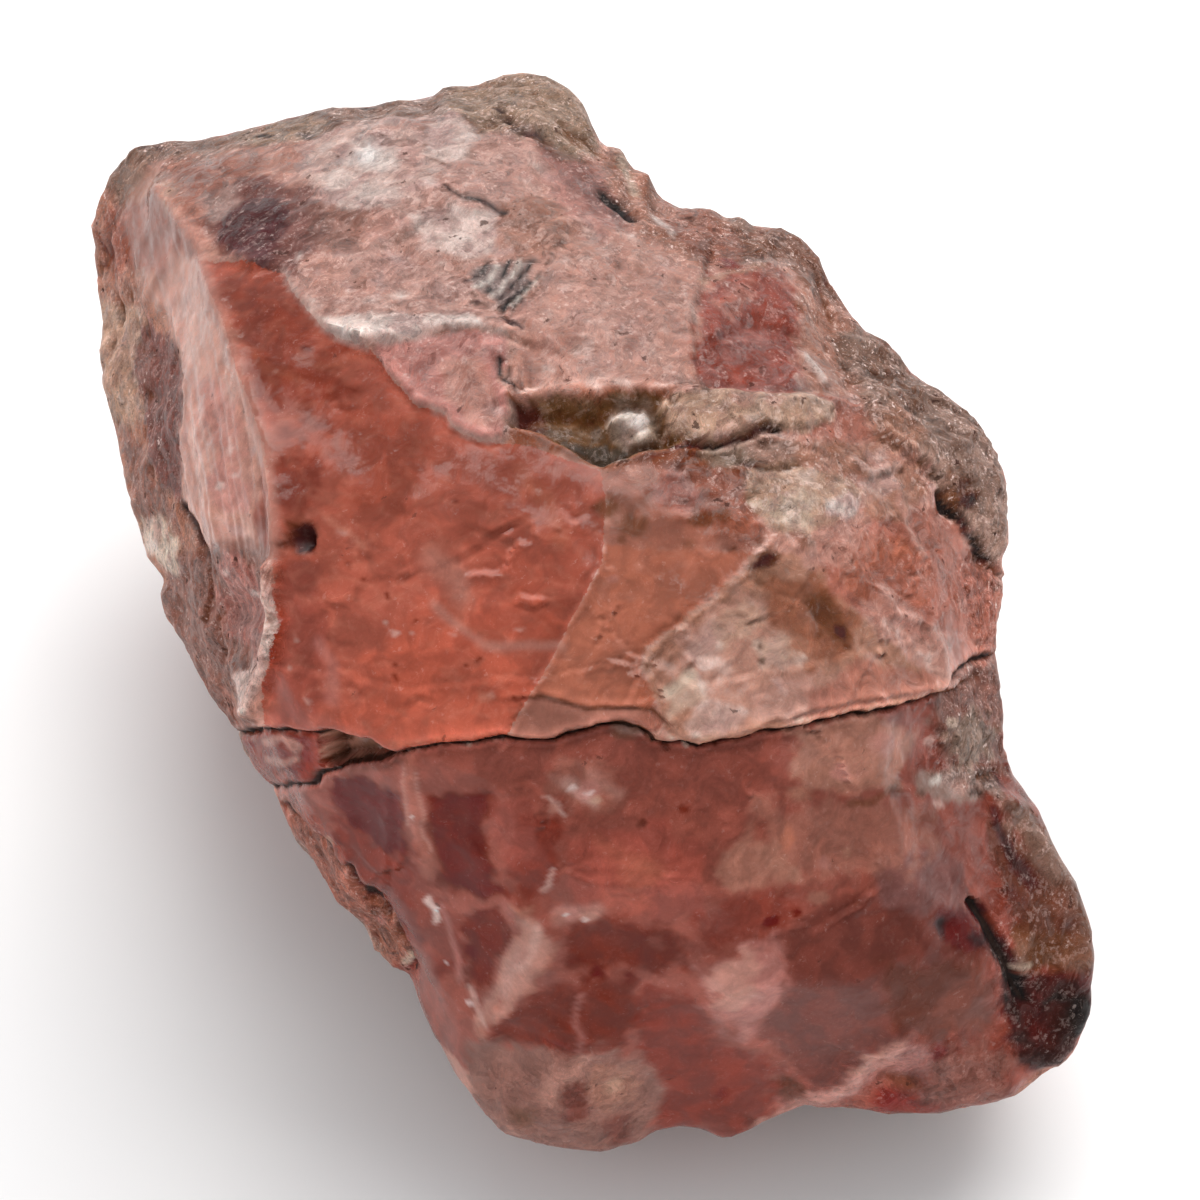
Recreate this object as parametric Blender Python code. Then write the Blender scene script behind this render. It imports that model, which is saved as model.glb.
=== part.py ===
"""A rough morganite specimen: one broken lump of pink beryl, resting on a flat natural face.

The stone is a single solid. Its form is set by named corners (ridges, rims, hollows and the
resting face). The corners are joined into a faceted cage, a round blank of even triangles is
drawn in onto that cage, and its broken faces are then chipped with flat, tilted flakes.

Units are metres. +Z is up. +X runs along the stone's longest extent. The origin is under the
middle of the stone, on the plane that it rests on.
"""
import math

import bmesh
import bpy
import numpy as np

# ---------------------------------------------------------------- driving dimensions
SHEET_WIDTH = 0.088          # width that 1200 sheet units cover at the sheet's own distance (m)
SHEET_UNITS = 1200.0
SHEET_TILT = math.radians(58.0)      # the oblique sheet looks down on the stone this steeply
SHEET_TURN = math.radians(43.0)      # and is turned this far about the upright axis
SHEET_SPREAD = math.radians(32.0)    # the sheet's lines of projection spread over this angle
SHEET_HEIGHT = 0.022                 # height of the sheet's middle over the resting plane (m)
HEART = (0.0, -0.002, 0.023)         # point inside the stone that every face can be seen from (m)
BLANK_DIVISIONS = 20                 # divisions of each side of the 20-faced blank
BLANK_PROPORTIONS = (0.0400, 0.0345, 0.0230)
CHIP_SIZE = 0.0085                   # width of the larger flakes (m)
CHIP_DEPTH = 0.00075                 # how far they stand out or go in (m)
SMALL_CHIP_SIZE = 0.0042
SMALL_CHIP_DEPTH = 0.00030

# Corners that the oblique sheet shows: across the sheet, down the sheet, and height over the
# resting plane in millimetres.
RIM = [
    (93, 259, 29), (95, 211, 31), (109, 177, 33), (132, 148, 34), (209, 137, 36),
    (304, 114, 37), (394, 100, 38), (445, 86, 38), (501, 75, 38), (546, 76, 38),
    (582, 102, 38), (605, 145, 38), (650, 173, 38), (681, 208, 37), (754, 226, 36),
    (801, 238, 35), (829, 281, 34), (864, 330, 33), (900, 356, 32), (940, 390, 31),
    (985, 431, 29), (1007, 482, 28), (1009, 544, 27), (1003, 600, 25), (996, 658, 24),
    (1004, 730, 22), (1013, 774, 21), (1053, 842, 18), (1079, 887, 17), (1095, 967, 15),
    (1079, 1042, 13), (1041, 1069, 12), (1015, 1097, 11), (942, 1113, 10), (865, 1109, 10),
    (806, 1104, 10), (741, 1133, 9), (701, 1129, 9), (655, 1131, 9), (604, 1152, 9),
    (547, 1146, 9), (501, 1132, 10), (455, 1073, 11), (421, 1007, 12), (391, 966, 13),
    (366, 927, 14), (326, 882, 15), (295, 840, 17), (273, 787, 19), (237, 731, 21),
    (211, 697, 22), (183, 644, 23), (160, 596, 24), (147, 557, 24), (127, 495, 25),
    (113, 425, 26), (101, 382, 27), (103, 321, 28),
]
LONG_RIDGE = [   # from the upper left corner down between the flank and the glassy face
    (165, 200, 39), (186, 225, 41), (211, 287, 43.4), (242, 371, 44.8), (268, 447, 44.6),
    (277, 510, 43.6), (277, 575, 42), (267, 640, 39.6), (246, 712, 34.4),
]
FLANK = [        # the steep side left of the ridge, with its fluted band and low scoop
    (150, 240, 35.5), (150, 330, 34), (186, 300, 39), (152, 410, 32.5), (196, 400, 39),
    (162, 480, 31.5), (202, 505, 38.5), (180, 560, 30.5), (206, 548, 34.5), (235, 570, 37.5),
    (212, 640, 30.5), (240, 640, 35), (252, 680, 35),
]
PLATEAU = [      # the frosted top
    (165, 162, 36.5), (265, 150, 40), (366, 135, 42), (450, 112, 41.5), (520, 112, 41),
    (572, 150, 41), (622, 200, 41), (700, 245, 40.2), (762, 262, 39), (250, 230, 42.6),
    (340, 205, 44), (450, 190, 44.5), (550, 235, 44.6), (300, 292, 45), (400, 342, 46.2),
    (490, 332, 46), (600, 320, 45.6), (700, 320, 43.6), (800, 300, 38.8), (780, 385, 42.2),
    (860, 400, 37.6), (920, 450, 34.2), (950, 520, 32),
]
GLASSY_FACE = [
    (320, 420, 44.6), (400, 500, 43.8), (330, 600, 41.6), (450, 620, 41.6), (300, 700, 38),
    (400, 738, 38.3), (507, 732, 39.4), (530, 560, 43.2), (600, 480, 44.2), (620, 600, 42),
    (650, 712, 39.4),
]
RIGHT_SHOULDER = [
    (700, 450, 43.4), (800, 450, 41.5), (760, 552, 41.6), (740, 650, 40.2), (850, 540, 38.4),
    (860, 650, 36.5), (930, 600, 33), (933, 685, 30.6), (785, 727, 37.8), (880, 708, 34.4),
]
FRONT_FACE = [   # below the long crack, falling away steeply
    (300, 790, 28), (400, 790, 34), (500, 780, 36.6), (620, 770, 37.2), (760, 770, 36),
    (880, 770, 32), (970, 760, 25.4), (340, 850, 23.8), (400, 900, 24), (430, 960, 20),
    (460, 1030, 16.6), (500, 880, 30), (600, 880, 32), (700, 880, 32.4), (800, 880, 31),
    (900, 870, 28.6), (990, 870, 22.6), (540, 980, 24), (640, 980, 25), (740, 980, 26),
    (840, 980, 25.2), (940, 950, 24), (1030, 950, 18.6), (560, 1080, 16), (650, 1080, 15),
    (740, 1080, 15), (830, 1050, 17), (930, 1050, 16.2), (1010, 1040, 14.4),
]
# Corners on the far side and underneath, which the sheet doesn't show: millimetres to the
# right of the sheet's middle, away from it, and up.
BACK = [
    (-37.5, 28, 21), (-35, 34, 25), (-32, 27, 11), (-20, 37.5, 27), (-21, 33.5, 12),
    (-8, 40, 26), (-9, 34, 11), (3, 31.5, 28), (2, 28, 12), (14, 26, 26),
    (13, 22, 10), (23, 17.5, 23), (22, 13, 9), (30.5, 8, 19), (28, 4, 9),
]
BELOW = [
    (-36, 15, 16), (-31, 12, 7), (-31, 2, 14), (-26, -5, 11), (-21, -14, 9), (-16, -18, 6),
    (-11.5, -25, 6), (-6, -30, 4), (1, -33, 3.4), (10, -32, 3.6), (19, -30, 4),
    (27.5, -29, 5), (32, -25.5, 7), (32.5, -19, 8), (30, -12, 9),
]
RESTING_FACE = [
    (-24, 14), (-10, 23), (7, 18), (19, 6), (24, -8), (20, -19), (8, -23), (-4, -21),
    (-14, -11), (-21, 0), (0, 0),
]


# ---------------------------------------------------------------- the oblique sheet
def sheet_frame():
    """Eye point, line of sight, right and up of the oblique sheet, before it is turned."""
    sight = np.array([0.0, math.cos(SHEET_TILT), -math.sin(SHEET_TILT)])
    right = np.array([1.0, 0.0, 0.0])
    up = np.array([0.0, math.sin(SHEET_TILT), math.cos(SHEET_TILT)])
    far = SHEET_WIDTH / (2.0 * math.tan(SHEET_SPREAD / 2.0))
    eye = np.array([0.0, 0.0, SHEET_HEIGHT]) - far * sight
    return eye, sight, right, up


def on_sheet(across, down, height_mm):
    """The point at this height that lies at (across, down) on the oblique sheet."""
    eye, sight, right, up = sheet_frame()
    reach = SHEET_UNITS / 2.0 / math.tan(SHEET_SPREAD / 2.0)
    line = (sight + (across - SHEET_UNITS / 2.0) / reach * right
            + (SHEET_UNITS / 2.0 - down) / reach * up)
    return eye + line * ((height_mm * 0.001 - eye[2]) / line[2])


def corners():
    points = []
    for group in (RIM, LONG_RIDGE, FLANK, PLATEAU, GLASSY_FACE, RIGHT_SHOULDER, FRONT_FACE):
        points += [on_sheet(*corner) for corner in group]
    points += [np.array(corner) * 0.001 for corner in BACK + BELOW]
    points += [np.array((x, y, -0.8)) * 0.001 for x, y in RESTING_FACE]
    return np.array(points)


# ---------------------------------------------------------------- cage and blank
def cage_triangles(points):
    """Join the corners: the hull of their directions from the heart gives the triangles."""
    ways = points - np.array(HEART)
    ways /= np.linalg.norm(ways, axis=1)[:, None]
    bm = bmesh.new()
    for way in ways:
        bm.verts.new(way)
    bm.verts.ensure_lookup_table()
    bmesh.ops.convex_hull(bm, input=bm.verts[:])
    bm.verts.index_update()
    triangles = [[v.index for v in face.verts] for face in bm.faces]
    bm.free()
    return np.array(triangles)


def cage_reach(ways):
    """Distance from the heart to the cage along each unit direction."""
    points = corners()
    triangles = cage_triangles(points)
    sides = (points - np.array(HEART))[triangles]
    reach = np.zeros(len(ways))
    best = np.full(len(ways), -1e9)
    for side in sides:
        share = np.linalg.inv(side.T) @ ways.T
        least = share.min(axis=0) / np.abs(share).max(axis=0)
        take = least > best
        best[take] = least[take]
        reach[take] = 1.0 / share.sum(axis=0)[take]
    return reach


def blank(divisions):
    """Unit points and triangles of a 20-faced ball, each face split evenly."""
    g = (1.0 + math.sqrt(5.0)) / 2.0
    tops = np.array([(-1, g, 0), (1, g, 0), (-1, -g, 0), (1, -g, 0), (0, -1, g), (0, 1, g),
                     (0, -1, -g), (0, 1, -g), (g, 0, -1), (g, 0, 1), (-g, 0, -1), (-g, 0, 1)],
                    dtype=float)
    tops /= np.linalg.norm(tops[0])
    faces = [(0, 11, 5), (0, 5, 1), (0, 1, 7), (0, 7, 10), (0, 10, 11), (1, 5, 9), (5, 11, 4),
             (11, 10, 2), (10, 7, 6), (7, 1, 8), (3, 9, 4), (3, 4, 2), (3, 2, 6), (3, 6, 8),
             (3, 8, 9), (4, 9, 5), (2, 4, 11), (6, 2, 10), (8, 6, 7), (9, 8, 1)]
    n = divisions
    found, points, triangles = {}, [], []
    for a, b, c in faces:
        index = {}
        for i in range(n + 1):
            for j in range(n + 1 - i):
                p = tops[a] * (n - i - j) + tops[b] * i + tops[c] * j
                key = tuple(np.round(p * 1000.0).astype(int))
                if key not in found:
                    found[key] = len(points)
                    points.append(p / np.linalg.norm(p))
                index[i, j] = found[key]
        for i in range(n):
            for j in range(n - i):
                triangles.append((index[i, j], index[i + 1, j], index[i, j + 1]))
                if i + j < n - 1:
                    triangles.append((index[i + 1, j], index[i + 1, j + 1], index[i, j + 1]))
    return np.array(points), np.array(triangles)


# ---------------------------------------------------------------- chipped faces
def scatter(cell, salt):
    """Repeatable scattered numbers in 0..1 for each whole-numbered cell."""
    n = (cell[..., 0] * 73856093 ^ cell[..., 1] * 19349663 ^ cell[..., 2] * 83492791
         ^ (salt * 2654435761 & 0x7FFFFFFF)) & 0x7FFFFFFF
    n = ((n ^ (n >> 15)) * 0x2C1B3C6D) & 0x7FFFFFFF
    n = ((n ^ (n >> 12)) * 0x297A2D39) & 0x7FFFFFFF
    return ((n ^ (n >> 15)) & 0xFFFFFF) / float(0xFFFFFF)


def flakes(points, size, salt):
    """Height of flat, randomly tilted flakes, about -1..1; neighbours meet along a crease."""
    p = points / size
    home = np.floor(p).astype(np.int64)
    near = np.full(len(p), 1e9)
    next_near = np.full(len(p), 1e9)
    high = np.zeros(len(p))
    next_high = np.zeros(len(p))
    for dx in (-1, 0, 1):
        for dy in (-1, 0, 1):
            for dz in (-1, 0, 1):
                cell = home + np.array((dx, dy, dz))
                seat = cell + np.stack([scatter(cell, salt + k) for k in (1, 2, 3)], axis=1)
                lean = np.stack([scatter(cell, salt + k) - 0.5 for k in (4, 5, 6)], axis=1)
                away = p - seat
                gap = np.linalg.norm(away, axis=1)
                rise = (away * lean).sum(axis=1) * 1.6 + (scatter(cell, salt + 7) - 0.5) * 0.9
                closer = gap < near
                second = ~closer & (gap < next_near)
                next_high = np.where(closer, high, np.where(second, rise, next_high))
                next_near = np.where(closer, near, np.where(second, gap, next_near))
                high = np.where(closer, rise, high)
                near = np.where(closer, gap, near)
    blend = np.clip((next_near - near) / 0.22, 0.0, 1.0)
    blend = 0.5 + 0.5 * blend * blend * (3.0 - 2.0 * blend)
    return high * blend + next_high * (1.0 - blend)


def stone(divisions):
    """Points, in the sheet's own directions, and triangles of the whole stone."""
    ways, triangles = blank(divisions)
    ways = ways * np.array(BLANK_PROPORTIONS)
    ways /= np.linalg.norm(ways, axis=1)[:, None]
    heart = np.array(HEART)
    reach = cage_reach(ways)
    points = heart + ways * reach[:, None]
    reach = reach + flakes(points, CHIP_SIZE, 11) * CHIP_DEPTH
    reach = reach + flakes(points, SMALL_CHIP_SIZE, 57) * SMALL_CHIP_DEPTH
    falling = ways[:, 2] < -1e-6
    floor_reach = np.where(falling, heart[2] / np.where(falling, -ways[:, 2], 1.0), 1e9)
    reach = np.minimum(reach, floor_reach)
    points = heart + ways * reach[:, None]
    points[reach >= floor_reach - 1e-9, 2] = 0.0
    return points, triangles


def turned(points):
    """Turn from the sheet's directions to the stone's own axes."""
    c, s = math.cos(SHEET_TURN), math.sin(SHEET_TURN)
    out = points.copy()
    out[:, 0] = points[:, 0] * c - points[:, 1] * s
    out[:, 1] = points[:, 0] * s + points[:, 1] * c
    return out


# ---------------------------------------------------------------- build
def morganite_material():
    material = bpy.data.materials.new("morganite")
    material.use_nodes = True
    shader = material.node_tree.nodes["Principled BSDF"]
    shader.inputs["Base Color"].default_value = (0.38, 0.13, 0.09, 1.0)
    shader.inputs["Roughness"].default_value = 0.35
    shader.inputs["Metallic"].default_value = 0.0
    shader.inputs["IOR"].default_value = 1.58
    material.diffuse_color = (0.38, 0.13, 0.09, 1.0)
    return material


def build():
    for old in list(bpy.data.objects):
        bpy.data.objects.remove(old, do_unlink=True)
    points, triangles = stone(BLANK_DIVISIONS)
    points = turned(points)
    low, high = points.min(axis=0), points.max(axis=0)
    points[:, 0] -= (low[0] + high[0]) / 2.0
    points[:, 1] -= (low[1] + high[1]) / 2.0
    mesh = bpy.data.meshes.new("morganite_crystal")
    mesh.from_pydata([tuple(p) for p in points], [], [tuple(int(i) for i in t) for t in triangles])
    mesh.update()
    bm = bmesh.new()
    bm.from_mesh(mesh)
    bmesh.ops.recalc_face_normals(bm, faces=bm.faces[:])
    bm.to_mesh(mesh)
    bm.free()
    mesh.materials.append(morganite_material())
    crystal = bpy.data.objects.new("morganite_crystal", mesh)
    bpy.context.scene.collection.objects.link(crystal)
    return crystal


build()
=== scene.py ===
"""Looks of the rough morganite specimen: the fine stone, what is sealed in it, floor, light and view.

The stone's fine mesh repeats the corners that the construction uses, adds the breaks, ledges,
cracks and grain that the real surface shows, and stands in for the plain solid. Colours and
finish are laid over it as named patches of mineral, each with its own soft or torn edge, with
painted highlights, glints, glow and shade among them, and the material's nodes add the grain
that is finer than the mesh, with painted glints and painted shadows of its own.
"""
import math

import bmesh
import bpy
import numpy as np
from mathutils import Matrix, Vector


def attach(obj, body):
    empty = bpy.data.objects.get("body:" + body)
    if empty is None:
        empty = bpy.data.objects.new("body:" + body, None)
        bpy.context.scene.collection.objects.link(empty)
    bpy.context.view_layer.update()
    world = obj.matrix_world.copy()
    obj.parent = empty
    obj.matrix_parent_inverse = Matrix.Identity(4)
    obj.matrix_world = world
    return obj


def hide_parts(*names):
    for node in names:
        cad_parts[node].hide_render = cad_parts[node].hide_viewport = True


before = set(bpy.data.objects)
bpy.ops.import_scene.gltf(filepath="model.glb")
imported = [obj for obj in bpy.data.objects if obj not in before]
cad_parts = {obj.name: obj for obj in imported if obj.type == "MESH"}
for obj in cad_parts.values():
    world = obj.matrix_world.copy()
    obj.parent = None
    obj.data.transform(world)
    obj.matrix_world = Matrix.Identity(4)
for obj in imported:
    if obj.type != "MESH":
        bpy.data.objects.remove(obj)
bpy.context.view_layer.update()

# ---------------------------------------------------------------- the stone's form, as built
SHEET_WIDTH = 0.088
SHEET_UNITS = 1200.0
SHEET_TILT = math.radians(58.0)
SHEET_TURN = math.radians(43.0)
SHEET_SPREAD = math.radians(32.0)
SHEET_HEIGHT = 0.022
HEART = (0.0, -0.002, 0.023)
BLANK_DIVISIONS = 20
FINE_DIVISIONS = 99
BLANK_PROPORTIONS = (0.0400, 0.0345, 0.0230)
CHIP_SIZE, CHIP_DEPTH = 0.0085, 0.00075
SMALL_CHIP_SIZE, SMALL_CHIP_DEPTH = 0.0042, 0.00030

# Corners that the oblique sheet shows: across the sheet, down the sheet, and height over the
# resting plane in millimetres.
RIM = [
    (93, 259, 29), (95, 211, 31), (109, 177, 33), (132, 148, 34), (209, 137, 36),
    (304, 114, 37), (394, 100, 38), (445, 86, 38), (501, 75, 38), (546, 76, 38),
    (582, 102, 38), (605, 145, 38), (650, 173, 38), (681, 208, 37), (754, 226, 36),
    (801, 238, 35), (829, 281, 34), (864, 330, 33), (900, 356, 32), (940, 390, 31),
    (985, 431, 29), (1007, 482, 28), (1009, 544, 27), (1003, 600, 25), (996, 658, 24),
    (1004, 730, 22), (1013, 774, 21), (1053, 842, 18), (1079, 887, 17), (1095, 967, 15),
    (1079, 1042, 13), (1041, 1069, 12), (1015, 1097, 11), (942, 1113, 10), (865, 1109, 10),
    (806, 1104, 10), (741, 1133, 9), (701, 1129, 9), (655, 1131, 9), (604, 1152, 9),
    (547, 1146, 9), (501, 1132, 10), (455, 1073, 11), (421, 1007, 12), (391, 966, 13),
    (366, 927, 14), (326, 882, 15), (295, 840, 17), (273, 787, 19), (237, 731, 21),
    (211, 697, 22), (183, 644, 23), (160, 596, 24), (147, 557, 24), (127, 495, 25),
    (113, 425, 26), (101, 382, 27), (103, 321, 28),
]
LONG_RIDGE = [   # from the upper left corner down between the flank and the glassy face
    (165, 200, 39), (186, 225, 41), (211, 287, 43.4), (242, 371, 44.8), (268, 447, 44.6),
    (277, 510, 43.6), (277, 575, 42), (267, 640, 39.6), (246, 712, 34.4),
]
FLANK = [        # the steep side left of the ridge, with its fluted band and low scoop
    (150, 240, 35.5), (150, 330, 34), (186, 300, 39), (152, 410, 32.5), (196, 400, 39),
    (162, 480, 31.5), (202, 505, 38.5), (180, 560, 30.5), (206, 548, 34.5), (235, 570, 37.5),
    (212, 640, 30.5), (240, 640, 35), (252, 680, 35),
]
PLATEAU = [      # the frosted top
    (165, 162, 36.5), (265, 150, 40), (366, 135, 42), (450, 112, 41.5), (520, 112, 41),
    (572, 150, 41), (622, 200, 41), (700, 245, 40.2), (762, 262, 39), (250, 230, 42.6),
    (340, 205, 44), (450, 190, 44.5), (550, 235, 44.6), (300, 292, 45), (400, 342, 46.2),
    (490, 332, 46), (600, 320, 45.6), (700, 320, 43.6), (800, 300, 38.8), (780, 385, 42.2),
    (860, 400, 37.6), (920, 450, 34.2), (950, 520, 32),
]
GLASSY_FACE = [
    (320, 420, 44.6), (400, 500, 43.8), (330, 600, 41.6), (450, 620, 41.6), (300, 700, 38),
    (400, 738, 38.3), (507, 732, 39.4), (530, 560, 43.2), (600, 480, 44.2), (620, 600, 42),
    (650, 712, 39.4),
]
RIGHT_SHOULDER = [
    (700, 450, 43.4), (800, 450, 41.5), (760, 552, 41.6), (740, 650, 40.2), (850, 540, 38.4),
    (860, 650, 36.5), (930, 600, 33), (933, 685, 30.6), (785, 727, 37.8), (880, 708, 34.4),
]
FRONT_FACE = [   # below the long crack, falling away steeply
    (300, 790, 28), (400, 790, 34), (500, 780, 36.6), (620, 770, 37.2), (760, 770, 36),
    (880, 770, 32), (970, 760, 25.4), (340, 850, 23.8), (400, 900, 24), (430, 960, 20),
    (460, 1030, 16.6), (500, 880, 30), (600, 880, 32), (700, 880, 32.4), (800, 880, 31),
    (900, 870, 28.6), (990, 870, 22.6), (540, 980, 24), (640, 980, 25), (740, 980, 26),
    (840, 980, 25.2), (940, 950, 24), (1030, 950, 18.6), (560, 1080, 16), (650, 1080, 15),
    (740, 1080, 15), (830, 1050, 17), (930, 1050, 16.2), (1010, 1040, 14.4),
]
# Corners on the far side and underneath, which the sheet doesn't show: millimetres to the
# right of the sheet's middle, away from it, and up.
BACK = [
    (-37.5, 28, 21), (-35, 34, 25), (-32, 27, 11), (-20, 37.5, 27), (-21, 33.5, 12),
    (-8, 40, 26), (-9, 34, 11), (3, 31.5, 28), (2, 28, 12), (14, 26, 26),
    (13, 22, 10), (23, 17.5, 23), (22, 13, 9), (30.5, 8, 19), (28, 4, 9),
]
BELOW = [
    (-36, 15, 16), (-31, 12, 7), (-31, 2, 14), (-26, -5, 11), (-21, -14, 9), (-16, -18, 6),
    (-11.5, -25, 6), (-6, -30, 4), (1, -33, 3.4), (10, -32, 3.6), (19, -30, 4),
    (27.5, -29, 5), (32, -25.5, 7), (32.5, -19, 8), (30, -12, 9),
]
RESTING_FACE = [
    (-24, 14), (-10, 23), (7, 18), (19, 6), (24, -8), (20, -19), (8, -23), (-4, -21),
    (-14, -11), (-21, 0), (0, 0),
]

# The outline that the stone shows to the oblique sheet, clockwise from its left corner.
OUTLINE = [
    (91, 225), (95, 211), (109, 177), (132, 148), (169, 140), (198, 141), (209, 137), (268, 123),
    (304, 114), (329, 107), (369, 107), (394, 100), (428, 100), (445, 86), (475, 86), (501, 75),
    (521, 73), (546, 76), (568, 88), (582, 102), (591, 121), (594, 134), (605, 145), (622, 149),
    (631, 168), (650, 173), (655, 193), (667, 203), (681, 208), (709, 208), (727, 218),
    (740, 216), (754, 226), (779, 227), (801, 238), (818, 255), (829, 281), (847, 309),
    (864, 330), (886, 341), (900, 356), (913, 376), (940, 390), (968, 411), (985, 431),
    (998, 454), (1007, 482), (1008, 511), (1009, 544), (1002, 558), (1004, 575), (1003, 600),
    (997, 625), (996, 658), (1000, 681), (1004, 717), (1004, 743), (1013, 774), (1040, 810),
    (1053, 842), (1079, 887), (1091, 925), (1095, 967), (1091, 1010), (1079, 1042), (1063, 1067),
    (1041, 1069), (1015, 1097), (982, 1105), (942, 1113), (894, 1115), (865, 1109), (819, 1108),
    (806, 1104), (774, 1117), (741, 1133), (728, 1139), (721, 1139), (701, 1129), (680, 1126),
    (655, 1131), (639, 1141), (620, 1147), (604, 1152), (579, 1150), (547, 1146), (519, 1138),
    (501, 1132), (476, 1103), (455, 1073), (437, 1041), (421, 1007), (410, 975), (391, 966),
    (374, 949), (366, 927), (337, 902), (326, 882), (314, 861), (295, 840), (284, 815),
    (273, 787), (256, 770), (242, 747), (237, 731), (228, 720), (211, 697), (200, 677),
    (183, 644), (165, 618), (160, 596), (164, 579), (147, 557), (137, 523), (127, 495),
    (120, 457), (113, 425), (101, 382), (99, 354), (103, 321), (97, 293), (93, 259),
]


def sheet_frame():
    """Eye point, line of sight, right and up of the oblique sheet, before it is turned."""
    sight = np.array([0.0, math.cos(SHEET_TILT), -math.sin(SHEET_TILT)])
    right = np.array([1.0, 0.0, 0.0])
    up = np.array([0.0, math.sin(SHEET_TILT), math.cos(SHEET_TILT)])
    far = SHEET_WIDTH / (2.0 * math.tan(SHEET_SPREAD / 2.0))
    eye = np.array([0.0, 0.0, SHEET_HEIGHT]) - far * sight
    return eye, sight, right, up


def on_sheet(across, down, height_mm):
    """The point at this height that lies at (across, down) on the oblique sheet."""
    eye, sight, right, up = sheet_frame()
    reach = SHEET_UNITS / 2.0 / math.tan(SHEET_SPREAD / 2.0)
    line = (sight + (across - SHEET_UNITS / 2.0) / reach * right
            + (SHEET_UNITS / 2.0 - down) / reach * up)
    return eye + line * ((height_mm * 0.001 - eye[2]) / line[2])


def corners():
    points = []
    for group in (RIM, LONG_RIDGE, FLANK, PLATEAU, GLASSY_FACE, RIGHT_SHOULDER, FRONT_FACE):
        points += [on_sheet(*corner) for corner in group]
    points += [np.array(corner) * 0.001 for corner in BACK + BELOW]
    points += [np.array((x, y, -0.8)) * 0.001 for x, y in RESTING_FACE]
    return np.array(points)


# ---------------------------------------------------------------- cage and blank
def cage_triangles(points):
    """Join the corners: the hull of their directions from the heart gives the triangles."""
    ways = points - np.array(HEART)
    ways /= np.linalg.norm(ways, axis=1)[:, None]
    bm = bmesh.new()
    for way in ways:
        bm.verts.new(way)
    bm.verts.ensure_lookup_table()
    bmesh.ops.convex_hull(bm, input=bm.verts[:])
    bm.verts.index_update()
    triangles = [[v.index for v in face.verts] for face in bm.faces]
    bm.free()
    return np.array(triangles)


def cage_reach(ways):
    """Distance from the heart to the cage along each unit direction."""
    points = corners()
    triangles = cage_triangles(points)
    sides = (points - np.array(HEART))[triangles]
    reach = np.zeros(len(ways))
    best = np.full(len(ways), -1e9)
    for side in sides:
        share = np.linalg.inv(side.T) @ ways.T
        least = share.min(axis=0) / np.abs(share).max(axis=0)
        take = least > best
        best[take] = least[take]
        reach[take] = 1.0 / share.sum(axis=0)[take]
    return reach


def blank(divisions):
    """Unit points and triangles of a 20-faced ball, each face split evenly."""
    g = (1.0 + math.sqrt(5.0)) / 2.0
    tops = np.array([(-1, g, 0), (1, g, 0), (-1, -g, 0), (1, -g, 0), (0, -1, g), (0, 1, g),
                     (0, -1, -g), (0, 1, -g), (g, 0, -1), (g, 0, 1), (-g, 0, -1), (-g, 0, 1)],
                    dtype=float)
    tops /= np.linalg.norm(tops[0])
    faces = [(0, 11, 5), (0, 5, 1), (0, 1, 7), (0, 7, 10), (0, 10, 11), (1, 5, 9), (5, 11, 4),
             (11, 10, 2), (10, 7, 6), (7, 1, 8), (3, 9, 4), (3, 4, 2), (3, 2, 6), (3, 6, 8),
             (3, 8, 9), (4, 9, 5), (2, 4, 11), (6, 2, 10), (8, 6, 7), (9, 8, 1)]
    n = divisions
    found, points, triangles = {}, [], []
    for a, b, c in faces:
        index = {}
        for i in range(n + 1):
            for j in range(n + 1 - i):
                p = tops[a] * (n - i - j) + tops[b] * i + tops[c] * j
                key = tuple(np.round(p * 1000.0).astype(int))
                if key not in found:
                    found[key] = len(points)
                    points.append(p / np.linalg.norm(p))
                index[i, j] = found[key]
        for i in range(n):
            for j in range(n - i):
                triangles.append((index[i, j], index[i + 1, j], index[i, j + 1]))
                if i + j < n - 1:
                    triangles.append((index[i + 1, j], index[i + 1, j + 1], index[i, j + 1]))
    return np.array(points), np.array(triangles)


# ---------------------------------------------------------------- chipped faces
def scatter(cell, salt):
    """Repeatable scattered numbers in 0..1 for each whole-numbered cell."""
    n = (cell[..., 0] * 73856093 ^ cell[..., 1] * 19349663 ^ cell[..., 2] * 83492791
         ^ (salt * 2654435761 & 0x7FFFFFFF)) & 0x7FFFFFFF
    n = ((n ^ (n >> 15)) * 0x2C1B3C6D) & 0x7FFFFFFF
    n = ((n ^ (n >> 12)) * 0x297A2D39) & 0x7FFFFFFF
    return ((n ^ (n >> 15)) & 0xFFFFFF) / float(0xFFFFFF)


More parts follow.
